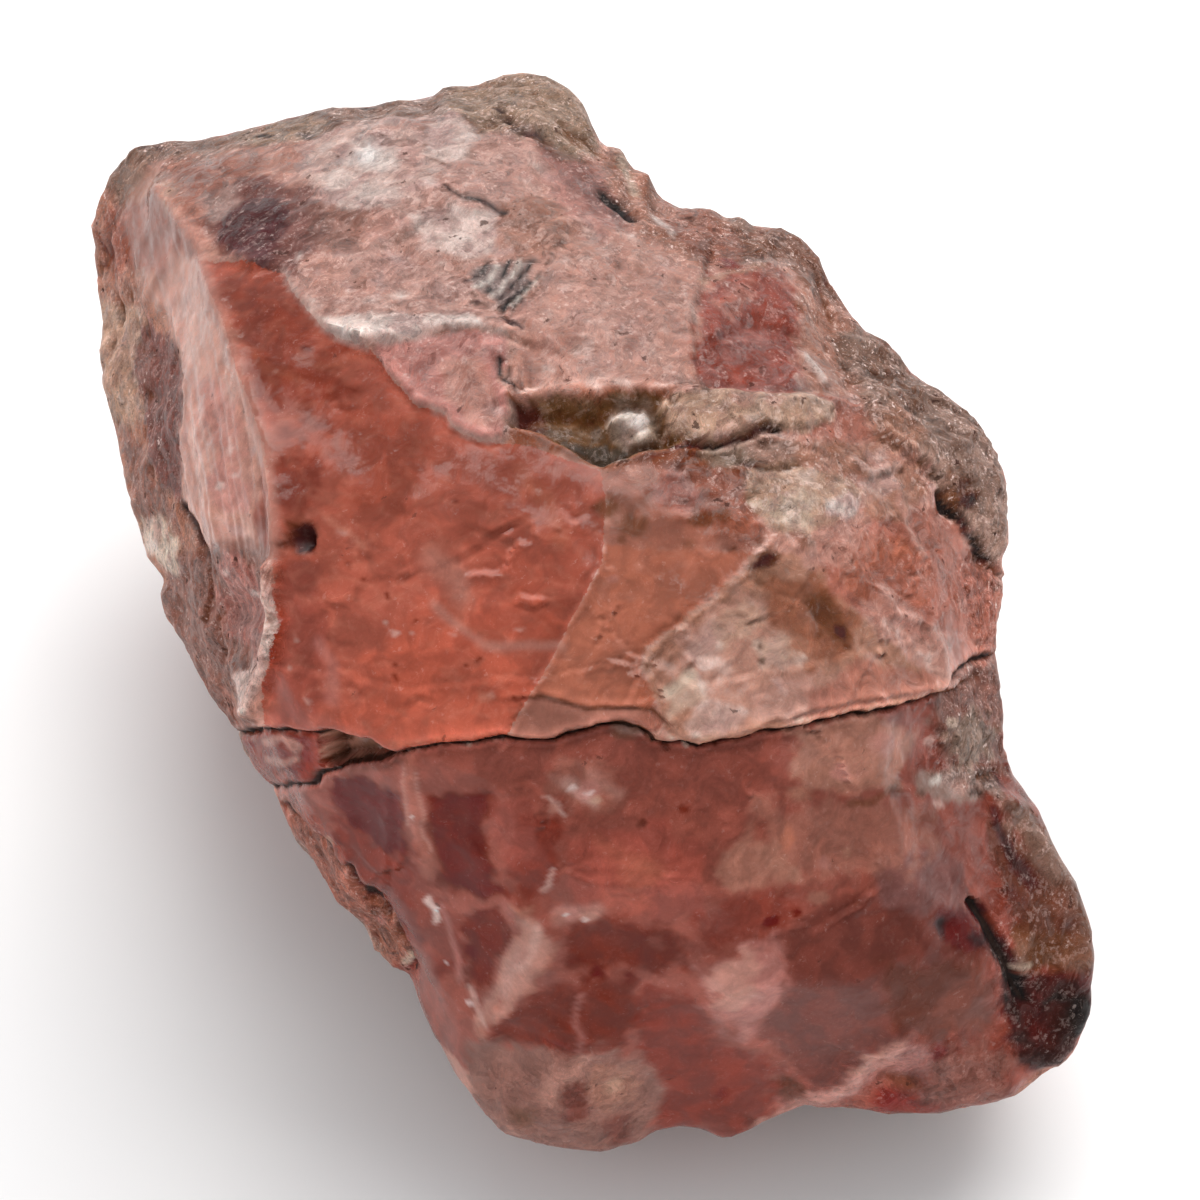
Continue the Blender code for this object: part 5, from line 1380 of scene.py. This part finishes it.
# ---------------------------------------------------------------- nodes
class Web:
    """A material's nodes, built with short calls."""

    def __init__(self, name):
        self.material = bpy.data.materials.new(name)
        self.material.use_nodes = True
        self.tree = self.material.node_tree
        self.tree.nodes.clear()
        self.output = self.tree.nodes.new("ShaderNodeOutputMaterial")

    def put(self, socket, value):
        if isinstance(value, bpy.types.NodeSocket):
            self.tree.links.new(value, socket)
        elif isinstance(value, (tuple, list, np.ndarray)):
            value = [float(v) for v in value]
            size = len(socket.default_value)
            socket.default_value = (value + [1.0])[:size] if size == 4 else value[:size]
        else:
            socket.default_value = value

    def node(self, kind, **settings):
        made = self.tree.nodes.new(kind)
        for key, value in settings.items():
            setattr(made, key, value)
        return made

    def math(self, operation, a, b=0.0, c=0.0, clamp=False):
        made = self.node("ShaderNodeMath", operation=operation, use_clamp=clamp)
        for socket, value in zip(made.inputs, (a, b, c)):
            self.put(socket, value)
        return made.outputs[0]

    def vector(self, operation, a, b=(0, 0, 0), scale=1.0):
        made = self.node("ShaderNodeVectorMath", operation=operation)
        self.put(made.inputs[0], a)
        if operation == "SCALE":
            self.put(made.inputs["Scale"], scale)
        else:
            self.put(made.inputs[1], b)
        return made.outputs["Value"] if operation in ("DOT_PRODUCT", "LENGTH", "DISTANCE") else made.outputs[0]

    def between(self, value, low, high, out_low=0.0, out_high=1.0):
        made = self.node("ShaderNodeMapRange", interpolation_type="SMOOTHSTEP")
        for name, v in zip(("Value", "From Min", "From Max", "To Min", "To Max"),
                           (value, low, high, out_low, out_high)):
            self.put(made.inputs[name], v)
        return made.outputs[0]

    def blend(self, amount, a, b, how="MIX"):
        made = self.node("ShaderNodeMix", data_type="RGBA", blend_type=how, clamp_factor=True)
        for socket, value in ((made.inputs[0], amount), (made.inputs[6], a), (made.inputs[7], b)):
            self.put(socket, value)
        return made.outputs[2]

    def noise(self, where, scale, detail=2.0, roughness=0.5, distortion=0.0):
        made = self.node("ShaderNodeTexNoise")
        for name, v in (("Vector", where), ("Scale", scale), ("Detail", detail), ("Roughness", roughness),
                        ("Distortion", distortion)):
            self.put(made.inputs[name], v)
        return made.outputs

    def cells(self, where, scale, feature="F1", **settings):
        made = self.node("ShaderNodeTexVoronoi", feature=feature, **settings)
        self.put(made.inputs["Vector"], where)
        self.put(made.inputs["Scale"], scale)
        return made.outputs

    def attribute(self, name):
        made = self.node("ShaderNodeAttribute", attribute_name=name)
        return made.outputs

    def stretched(self, where, amounts, turn=(0, 0, 0)):
        made = self.node("ShaderNodeMapping")
        self.put(made.inputs["Vector"], where)
        made.inputs["Scale"].default_value = amounts
        made.inputs["Rotation"].default_value = turn
        return made.outputs[0]


# white of painted glints and of painted highlights on lit flakes
GLINT_WHITE = tone(232, 206, 198)
SPECK_AND_SHADOW = tone(52, 28, 22)
DEEP_CRACK = tone(40, 24, 18)
CLEAREST = 0.42   # how much light goes straight into the clearest windows


def morganite_look():
    """Rough morganite: colour layers from the mesh, with grain finer than the mesh added here."""
    w = Web("morganite_rough")
    half = (0.5, 0.5, 0.5)
    here = w.node("ShaderNodeTexCoord").outputs["Object"]
    mm = w.vector("SCALE", here, scale=1000.0)
    sway = w.vector("SUBTRACT", w.noise(mm, 0.62, 0.0)[1], half)
    bent = w.vector("ADD", mm, w.vector("SCALE", sway, scale=1.7))

    tint = w.attribute("tint")["Color"]
    glass = w.attribute("glass")["Color"]
    border = w.attribute("border")["Fac"]
    clear = w.attribute("clear")["Fac"]
    broken = w.attribute("broken")["Fac"]
    crack = w.attribute("crack")["Fac"]
    opened = w.attribute("open")["Fac"]
    darkening = w.attribute("darkening")["Fac"]

    clouds = w.noise(bent, 0.42, 2.0, 0.6)[0]
    fine_fac = w.noise(mm, 2.9, 3.0, 0.75)[0]
    fibre_fac = w.noise(w.stretched(bent, (1.9, 0.62, 1.15), (0.4, 0.2, 0.7)), 1.0, 3.0, 0.62)[0]
    grain = w.cells(w.stretched(bent, (1.9, 0.85, 1.35), (0.9, 0.3, 1.0)), 1.0)
    chips = w.vector("ADD", w.stretched(bent, (4.6, 2.6, 3.6), (0.4, 0.2, 0.7)),
                     w.vector("SCALE", (1.6, -1.9, 1.3), scale=fine_fac))
    chip = w.node("ShaderNodeTexWhiteNoise", noise_dimensions="3D")
    w.put(chip.inputs["Vector"], w.vector("FLOOR", chips))
    chip_colour = chip.outputs["Color"]

    # the crisp line between frost and glass
    ragged = w.math("ADD", border, w.math("MULTIPLY", w.math("SUBTRACT", fine_fac, 0.5), 0.60))
    in_glass = w.between(ragged, -0.03, 0.05)
    colour = w.blend(in_glass, tint, glass)

    # thin scales: each rises slowly and breaks off at a sharp edge
    scale_at = w.math("FRACT", w.math("ADD", w.math("MULTIPLY", fibre_fac, 10.0), w.math("MULTIPLY", fine_fac, 1.2)))

    # clouds, scales, and grains that are each lit their own way
    parts = w.node("ShaderNodeSeparateColor")
    w.put(parts.inputs[0], grain["Color"])
    small = w.node("ShaderNodeSeparateColor")
    w.put(small.inputs[0], chip_colour)
    change = w.math("MULTIPLY", w.math("SUBTRACT", clouds, 0.5), w.between(broken, 0.1, 0.5, 0.36, 0.62))
    change = w.math("ADD", change, w.math("MULTIPLY", w.math("SUBTRACT", scale_at, 0.5),
                                          w.between(broken, 0.1, 0.8, 0.05, 0.36)))
    change = w.math("ADD", change, w.math("MULTIPLY", w.math("SUBTRACT", fine_fac, 0.5),
                                          w.between(broken, 0.1, 0.9, 0.36, 1.40)))
    change = w.math("ADD", change, w.math("MULTIPLY", w.math("SUBTRACT", parts.outputs[0], 0.5),
                                          w.between(broken, 0.10, 0.6, 0.04, 0.40)))
    change = w.math("ADD", change, w.math("MULTIPLY", w.math("SUBTRACT", small.outputs[0], 0.5),
                                          w.between(broken, 0.1, 0.9, 0.08, 0.42)))
    colour = w.vector("SCALE", colour, scale=w.math("MAXIMUM", w.math("ADD", change, 1.0), 0.15))

    # painted highlights: some flakes are painted pale, as if their faces caught the light, broken up by fine noise
    flake = w.math("MULTIPLY", w.math("GREATER_THAN", parts.outputs[2], 0.76), w.between(broken, 0.30, 0.85, 0.02, 0.34))
    flake = w.math("MULTIPLY", flake, w.math("MULTIPLY", w.between(fine_fac, 0.43, 0.60), w.between(broken, 0.60, 0.85, 1.0, 0.45)))
    flake = w.math("MULTIPLY", flake, w.math("SUBTRACT", 1.0, w.math("MULTIPLY", darkening, 0.6)))
    colour = w.blend(flake, colour, GLINT_WHITE)

    # painted white glints along the sharp edges of the scales, and on single small faces
    edge = w.math("MULTIPLY", w.between(scale_at, 0.80, 0.96), w.between(fine_fac, 0.47, 0.60))
    lit = w.math("MULTIPLY", w.math("GREATER_THAN", small.outputs[1], 0.93), w.between(fine_fac, 0.52, 0.60))
    glint = w.math("MAXIMUM", w.math("MULTIPLY", edge, w.between(broken, 0.3, 0.95, 0.06, 0.76)),
                   w.math("MULTIPLY", lit, w.between(broken, 0.3, 0.95, 0.12, 0.72)))
    glint = w.math("MULTIPLY", glint, w.between(clouds, 0.38, 0.58, 0.25, 1.0))
    glint = w.math("MULTIPLY", glint, w.math("SUBTRACT", 1.0, w.math("MULTIPLY", darkening, 0.7)))
    colour = w.blend(glint, colour, GLINT_WHITE)

    # dark specks, and a painted shadow under the edges of the scales
    chosen = w.math("LESS_THAN", parts.outputs[1], w.between(broken, 0.15, 0.9, 0.05, 0.30))
    speck = w.math("SUBTRACT", grain["Distance"], w.math("MULTIPLY", parts.outputs[2], 0.36))
    speck = w.math("ADD", speck, w.math("MULTIPLY", w.math("SUBTRACT", fine_fac, 0.5), 1.2))
    speck = w.math("MULTIPLY", w.between(speck, -0.10, 0.03, 1.0, 0.0), chosen)
    under = w.math("MULTIPLY", w.between(scale_at, 0.16, 0.02), w.between(fine_fac, 0.54, 0.44))
    under = w.math("MULTIPLY", under, w.between(broken, 0.15, 0.85, 0.10, 0.95))
    under = w.math("MULTIPLY", under, w.between(clouds, 0.62, 0.46, 0.15, 1.0))
    marks = w.math("MAXIMUM", w.math("MULTIPLY", speck, w.between(clouds, 0.42, 0.54)), under)
    colour = w.blend(w.math("MULTIPLY", marks, w.between(broken, 0.1, 0.9, 0.55, 0.88)), colour, SPECK_AND_SHADOW)

    # open cracks, dark at the bottom
    width = w.math("MULTIPLY", clouds, 0.26)
    gap = w.math("ADD", w.math("ABSOLUTE", crack), w.math("MULTIPLY", w.math("SUBTRACT", fine_fac, 0.5), 0.10))
    gap = w.math("MULTIPLY", w.between(w.math("SUBTRACT", gap, width), -0.05, 0.06, 1.0, 0.0), opened)
    colour = w.blend(w.math("MULTIPLY", gap, 0.85), colour, DEEP_CRACK)
    colour = w.vector("MAXIMUM", colour, (0.003, 0.003, 0.003))

    # finish
    rough = w.math("ADD", w.between(broken, 0.1, 0.9, 0.18, 0.46), w.math("MULTIPLY", w.math("SUBTRACT", clouds, 0.5), 0.40))
    rough = w.math("ADD", rough, w.math("MULTIPLY", w.math("MAXIMUM", darkening, marks), 0.30))
    rough = w.math("SUBTRACT", rough, w.math("MULTIPLY", glint, 0.15))
    rough = w.math("MINIMUM", w.math("MAXIMUM", rough, 0.10), 0.85)
    seen_through = w.math("MULTIPLY", clear, w.between(clouds, 0.40, 0.62, CLEAREST, 0.5 * CLEAREST))
    seen_through = w.math("MULTIPLY", seen_through, w.math("SUBTRACT", 1.0, w.math("MAXIMUM", gap, w.math("MAXIMUM", marks, glint))),
                          clamp=True)

    # waves, fibres and small crystal faces tilt the surface
    tilt = w.vector("SCALE", sway, scale=w.between(broken, 0.1, 0.5, 0.10, 0.22))
    by_fine = w.math("MULTIPLY", w.math("SUBTRACT", fine_fac, 0.5), w.between(broken, 0.05, 0.9, 0.20, 0.95))
    by_fibre = w.math("MULTIPLY", w.math("SUBTRACT", fibre_fac, 0.5), w.between(broken, 0.05, 0.9, 0.30, 0.80))
    tilt = w.vector("ADD", tilt, w.vector("SCALE", (1.0, -0.7, 0.5), scale=by_fine))
    tilt = w.vector("ADD", tilt, w.vector("SCALE", (-0.6, -1.0, 0.7), scale=by_fibre))
    tilt = w.vector("ADD", tilt, w.vector("SCALE", w.vector("SUBTRACT", grain["Color"], half),
                                          scale=w.between(broken, 0.1, 0.95, 0.04, 0.60)))
    tilt = w.vector("ADD", tilt, w.vector("SCALE", w.vector("SUBTRACT", chip_colour, half),
                                          scale=w.between(broken, 0.2, 0.95, 0.03, 0.42)))
    faced = w.node("ShaderNodeNewGeometry").outputs["Normal"]
    normal = w.vector("NORMALIZE", w.vector("ADD", faced, tilt))

    shader = w.node("ShaderNodeBsdfPrincipled")
    w.put(shader.inputs["Base Color"], colour)
    w.put(shader.inputs["Roughness"], rough)
    w.put(shader.inputs["Transmission Weight"], seen_through)
    w.put(shader.inputs["Normal"], normal)
    shader.inputs["IOR"].default_value = 1.58
    shader.inputs["Specular IOR Level"].default_value = 0.13
    shader.inputs["Specular Tint"].default_value = (0.62, 0.60, 0.60, 1.0)
    shader.inputs["Subsurface Weight"].default_value = 0.16
    shader.inputs["Subsurface Radius"].default_value = (1.0, 0.38, 0.28)
    shader.inputs["Subsurface Scale"].default_value = 0.0022
    w.tree.links.new(shader.outputs[0], w.output.inputs["Surface"])
    inside = w.node("ShaderNodeVolumeAbsorption")
    inside.inputs["Color"].default_value = (0.90, 0.42, 0.34, 1.0)
    inside.inputs["Density"].default_value = 165.0
    w.tree.links.new(inside.outputs[0], w.output.inputs["Volume"])
    return w.material


# ---------------------------------------------------------------- the stone
stone_data = make_stone()
coarse, _ = stone(BLANK_DIVISIONS)
coarse = turned(coarse)
SHIFT = np.array([(coarse[:, 0].min() + coarse[:, 0].max()) / 2.0,
                  (coarse[:, 1].min() + coarse[:, 1].max()) / 2.0, 0.0])


def placed(points):
    """From the sheet's directions to the part's own frame."""
    return turned(points) - SHIFT


def mesh_from(name, points, triangles):
    mesh = bpy.data.meshes.new(name)
    mesh.vertices.add(len(points))
    mesh.vertices.foreach_set("co", np.ascontiguousarray(points, dtype=np.float32).ravel())
    mesh.loops.add(3 * len(triangles))
    mesh.loops.foreach_set("vertex_index", np.ascontiguousarray(triangles, dtype=np.int32).ravel())
    mesh.polygons.add(len(triangles))
    mesh.polygons.foreach_set("loop_start", np.arange(0, 3 * len(triangles), 3, dtype=np.int32))
    mesh.polygons.foreach_set("loop_total", np.full(len(triangles), 3, dtype=np.int32))
    mesh.update(calc_edges=True)
    mesh.validate()
    return mesh


def give(mesh, name, values):
    if values.ndim == 2:
        layer = mesh.attributes.new(name, "FLOAT_COLOR", "POINT")
        layer.data.foreach_set("color", np.hstack([values, np.ones((len(values), 1))]).astype(np.float32).ravel())
    else:
        layer = mesh.attributes.new(name, "FLOAT", "POINT")
        layer.data.foreach_set("value", values.astype(np.float32))


def light_on(points, triangles, around):
    """How much of the studio's light each part of the stone gets, about 1 on a level face."""
    raw = normals_of(points, triangles)
    normal = np.stack([around.blur(raw[:, k], 10) for k in range(3)], axis=1)
    normal /= np.linalg.norm(normal, axis=1)[:, None]
    key = np.array(KEY_PLACE) / np.linalg.norm(KEY_PLACE)
    eye, sight, right, up = sheet_frame()
    away = np.cross(np.array((0.0, 0.0, 1.0)), right)
    lean = normal @ (right * key[0] + away * key[1] + np.array((0.0, 0.0, key[2])))
    from_key = np.clip((lean + 0.2) / 1.2, 0, 1) ** 1.6
    given = (0.455 * (0.5 + 0.5 * normal[:, 2]) + 1.24 * from_key + 0.895 * (0.5 - 0.5 * normal[:, 2])
             + 0.30 * (0.5 + 0.5 * (normal @ away)))
    return given, 0.016 + 0.010 * from_key


# The studio: a broad window behind the stone and a little to the right, in a room that is
# bright behind the stone and darker on the viewer's side.
KEY_PLACE = (0.10, 0.42, 0.52)
WORLD_DARK, WORLD_BRIGHT = 0.46, 0.86

coat = paint(stone_data)
given, gloss = light_on(stone_data["points"], stone_data["triangles"], stone_data["around"])
mesh = mesh_from("morganite_stone", placed(stone_data["points"]), stone_data["triangles"])
mesh.shade_smooth()
mesh.set_sharp_from_angle(angle=math.radians(42.0))
# The named colours are what daylight shows. The gloss and the white glints over them are taken
# off, and what a clear window swallows is given back.
for name in ("tint", "glass"):
    shown_colour = coat[name]
    glints = 0.006 + 0.058 * step(coat["rough"], 0.15, 0.75)
    body = np.maximum(shown_colour - gloss[:, None] - glints[:, None] * GLINT_WHITE, 0.15 * shown_colour)
    fill = (1.03 + 0.34 * coat["clear"]) / given
    give(mesh, name, np.clip(body * fill[:, None], 0.002, 0.90))
for name, key in (("border", "border"), ("clear", "clear"), ("broken", "rough"), ("crack", "crack"),
                  ("open", "open"), ("darkening", "darkening")):
    give(mesh, name, coat[key])
crystal = bpy.data.objects.new("morganite_stone", mesh)
bpy.context.scene.collection.objects.link(crystal)
mesh.materials.append(morganite_look())
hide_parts("morganite_crystal")
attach(crystal, "root")


# ---------------------------------------------------------------- what is sealed in the stone
# Healed veils and grains under the clear faces: across, down, depth under the face in
# millimetres, half length, half width, turn in degrees.
VEILS = [
    (452, 652, 1.3, 2.6, 0.9, 24), (490, 618, 2.1, 1.9, 0.7, -30), (372, 440, 1.8, 2.3, 0.8, 62),
    (330, 410, 2.4, 1.8, 0.6, 15), (418, 560, 2.8, 2.4, 1.0, -48), (520, 690, 1.6, 1.6, 0.6, 8),
    (585, 795, 1.2, 1.9, 0.7, 28), (655, 860, 1.7, 2.6, 1.3, -16), (590, 960, 2.2, 2.2, 0.8, 40),
    (455, 840, 1.9, 1.8, 0.6, 74), (640, 620, 1.5, 2.0, 0.7, -35),
]
GRAINS = [
    (330, 585, 0.9, 0.22, 0.16, 10), (384, 622, 1.3, 0.30, 0.18, 50), (455, 520, 1.1, 0.26, 0.20, 80),
    (500, 580, 0.8, 0.24, 0.15, 30), (350, 700, 1.2, 0.30, 0.20, 0), (644, 823, 0.9, 0.34, 0.28, 20),
    (700, 812, 1.0, 0.26, 0.18, 65), (560, 1010, 1.1, 0.28, 0.20, 15),
]


def under_face(x, y, depth):
    """The place a depth under the face seen at a place of the sheet, with the face's directions."""
    seen = np.nonzero(stone_data["facing"] > 0.2)[0]
    gap = np.hypot(stone_data["sx"][seen] - x, stone_data["sy"][seen] - y)
    near = seen[np.argsort(gap)[:40]]
    normal = normals_of(stone_data["points"], stone_data["triangles"])[near].mean(axis=0)
    normal /= np.linalg.norm(normal)
    along = sheet_frame()[2]
    along = along - normal * (along @ normal)
    along /= np.linalg.norm(along)
    return stone_data["points"][near].mean(axis=0) - normal * depth * 0.001, along, np.cross(normal, along), normal


def lens(spot, half_length, half_width, thickness, turn, seed, waves):
    """A closed thin lens with a wavy body and an uneven rim."""
    rings, sides = 9, 30
    lat = np.linspace(0, math.pi, rings + 2)[1:-1]
    lon = np.arange(sides) * 2 * math.pi / sides
    la, lo = np.meshgrid(lat, lon, indexing="ij")
    ball = np.stack([np.sin(la) * np.cos(lo), np.sin(la) * np.sin(lo), np.cos(la)], axis=2).reshape(-1, 3)
    ball = np.vstack([ball, [[0, 0, 1.0], [0, 0, -1.0]]])
    rim = 1 + 0.45 * cloud(np.stack([ball[:, 0] * 1.6, ball[:, 1] * 1.6, np.zeros(len(ball))], axis=1), 3, seed)
    flat = ball[:, :2] * rim[:, None] * np.array((half_length, half_width))
    lift = waves * np.sin(2.1 * flat[:, 0] + seed) * np.cos(1.7 * flat[:, 1] + 0.5 * seed) + ball[:, 2] * thickness
    c, s = math.cos(math.radians(turn)), math.sin(math.radians(turn))
    centre, along, across, normal = spot
    points = (centre + np.outer((flat[:, 0] * c - flat[:, 1] * s) * 0.001, along)
              + np.outer((flat[:, 0] * s + flat[:, 1] * c) * 0.001, across) + np.outer(lift * 0.001, normal))
    faces = []
    for i in range(rings - 1):
        for j in range(sides):
            a, b = i * sides + j, i * sides + (j + 1) % sides
            d, e = a + sides, b + sides
            faces += [(a, d, e), (a, e, b)]
    top, foot, last = rings * sides, rings * sides + 1, (rings - 1) * sides
    for j in range(sides):
        faces += [(top, j, (j + 1) % sides), (foot, last + (j + 1) % sides, last + j)]
    return points, np.array(faces)


def sealed_look(name, first, second, roughness):
    w = Web(name)
    mm = w.vector("SCALE", w.node("ShaderNodeTexCoord").outputs["Object"], scale=1000.0)
    spots = w.noise(mm, 3.2, 3.0, 0.7)[0]
    colour = w.blend(w.between(spots, 0.38, 0.62), tuple(first), tuple(second))
    shader = w.node("ShaderNodeBsdfPrincipled")
    w.put(shader.inputs["Base Color"], colour)
    w.put(shader.inputs["Roughness"], w.between(spots, 0.3, 0.7, roughness, roughness + 0.25))
    w.tree.links.new(shader.outputs[0], w.output.inputs["Surface"])
    return w.material


veil_look = sealed_look("healed_veil", tone(214, 150, 130), tone(238, 206, 192), 0.35)
grain_look = sealed_look("iron_grain", tone(58, 30, 22), tone(96, 56, 42), 0.45)
for kind, look, spots in (("veil", veil_look, VEILS), ("grain", grain_look, GRAINS)):
    for k, (x, y, depth, half_length, half_width, turn) in enumerate(spots):
        thick, waves = (0.07, 0.16) if kind == "veil" else (0.5 * (half_length + half_width) * 0.8, 0.0)
        points, faces = lens(under_face(x, y, depth), half_length, half_width, thick, turn, 31 + 7 * k, waves)
        sealed_mesh = mesh_from("%s_%02d" % (kind, k + 1), placed(points), faces)
        sealed_mesh.shade_smooth()
        sealed_mesh.materials.append(look)
        sealed = bpy.data.objects.new("%s_%02d" % (kind, k + 1), sealed_mesh)
        bpy.context.scene.collection.objects.link(sealed)
        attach(sealed, "root")


# ---------------------------------------------------------------- floor, light and view
def floor_look():
    w = Web("pale_paper")
    here = w.node("ShaderNodeTexCoord").outputs["Object"]
    broad = w.noise(here, 22.0, 2.0)[0]
    colour = w.blend(w.between(broad, 0.35, 0.65), (0.86, 0.86, 0.865, 1), (0.90, 0.90, 0.90, 1))
    shader = w.node("ShaderNodeBsdfPrincipled")
    w.put(shader.inputs["Base Color"], colour)
    shader.inputs["Roughness"].default_value = 0.85
    shader.inputs["Specular IOR Level"].default_value = 0.15
    w.tree.links.new(shader.outputs[0], w.output.inputs["Surface"])
    return w.material


ground = bmesh.new()
bmesh.ops.create_grid(ground, x_segments=24, y_segments=24, size=3.0)
floor_mesh = bpy.data.meshes.new("floor")
ground.to_mesh(floor_mesh)
ground.free()
floor_mesh.materials.append(floor_look())
floor = bpy.data.objects.new("floor", floor_mesh)
floor.location = (0, 0, -0.00002)
bpy.context.scene.collection.objects.link(floor)

eye, sight, right, up = sheet_frame()
away = np.cross(np.array((0.0, 0.0, 1.0)), right)
away /= np.linalg.norm(away)


def lamp(name, across, back, height, size, power, colour, aim=(0.0, 0.0, 0.02)):
    """A soft square lamp placed in the sheet's directions, aimed at the stone."""
    data = bpy.data.lights.new(name, "AREA")
    data.shape = "SQUARE"
    data.size = size
    data.energy = power
    data.color = colour
    made = bpy.data.objects.new(name, data)
    spot = right * across + away * back + np.array((0.0, 0.0, height))
    spot = placed(spot[None])[0]
    made.location = Vector(spot)
    made.rotation_euler = (Vector(aim) - Vector(spot)).to_track_quat("-Z", "Y").to_euler()
    bpy.context.scene.collection.objects.link(made)
    return made


lamp("key", KEY_PLACE[0], KEY_PLACE[1], KEY_PLACE[2], 0.60, 6.2, (1.0, 0.985, 0.965))

# The room is bright behind the stone and overhead, and darker on the viewer's side.
world = bpy.data.worlds.new("studio")
world.use_nodes = True
nodes, links = world.node_tree.nodes, world.node_tree.links
way = nodes.new("ShaderNodeTexCoord")
lean = nodes.new("ShaderNodeVectorMath")
lean.operation = "DOT_PRODUCT"
back_way = turned(away[None])[0]
lean.inputs[1].default_value = tuple(float(v) for v in back_way)
links.new(way.outputs["Generated"], lean.inputs[0])
shade = nodes.new("ShaderNodeMapRange")
shade.interpolation_type = "SMOOTHSTEP"
for name, value in (("From Min", -0.75), ("From Max", 0.85), ("To Min", WORLD_DARK), ("To Max", WORLD_BRIGHT)):
    shade.inputs[name].default_value = value
links.new(lean.outputs["Value"], shade.inputs["Value"])
sky = nodes["Background"]
sky.inputs["Color"].default_value = (0.98, 0.985, 1.0, 1)
links.new(shade.outputs[0], sky.inputs["Strength"])
bpy.context.scene.world = world

scene = bpy.context.scene
scene.view_settings.view_transform = "Standard"
scene.view_settings.look = "None"
scene.view_settings.exposure = 0.0
scene.view_settings.gamma = 1.0

camera_data = bpy.data.cameras.new("camera")
camera_data.sensor_fit = "HORIZONTAL"
camera_data.angle = SHEET_SPREAD
camera_data.clip_start = 0.005
camera_data.clip_end = 20.0
camera = bpy.data.objects.new("camera", camera_data)
spot = placed(eye[None])[0]
axes = [turned(np.array([v]))[0] for v in (right, up, -sight)]
view = Matrix.Identity(4)
for k in range(3):
    for row in range(3):
        view[row][k] = float(axes[k][row])
    view[k][3] = float(spot[k])
camera.matrix_world = view
scene.collection.objects.link(camera)
scene.camera = camera

bpy.context.view_layer.update()
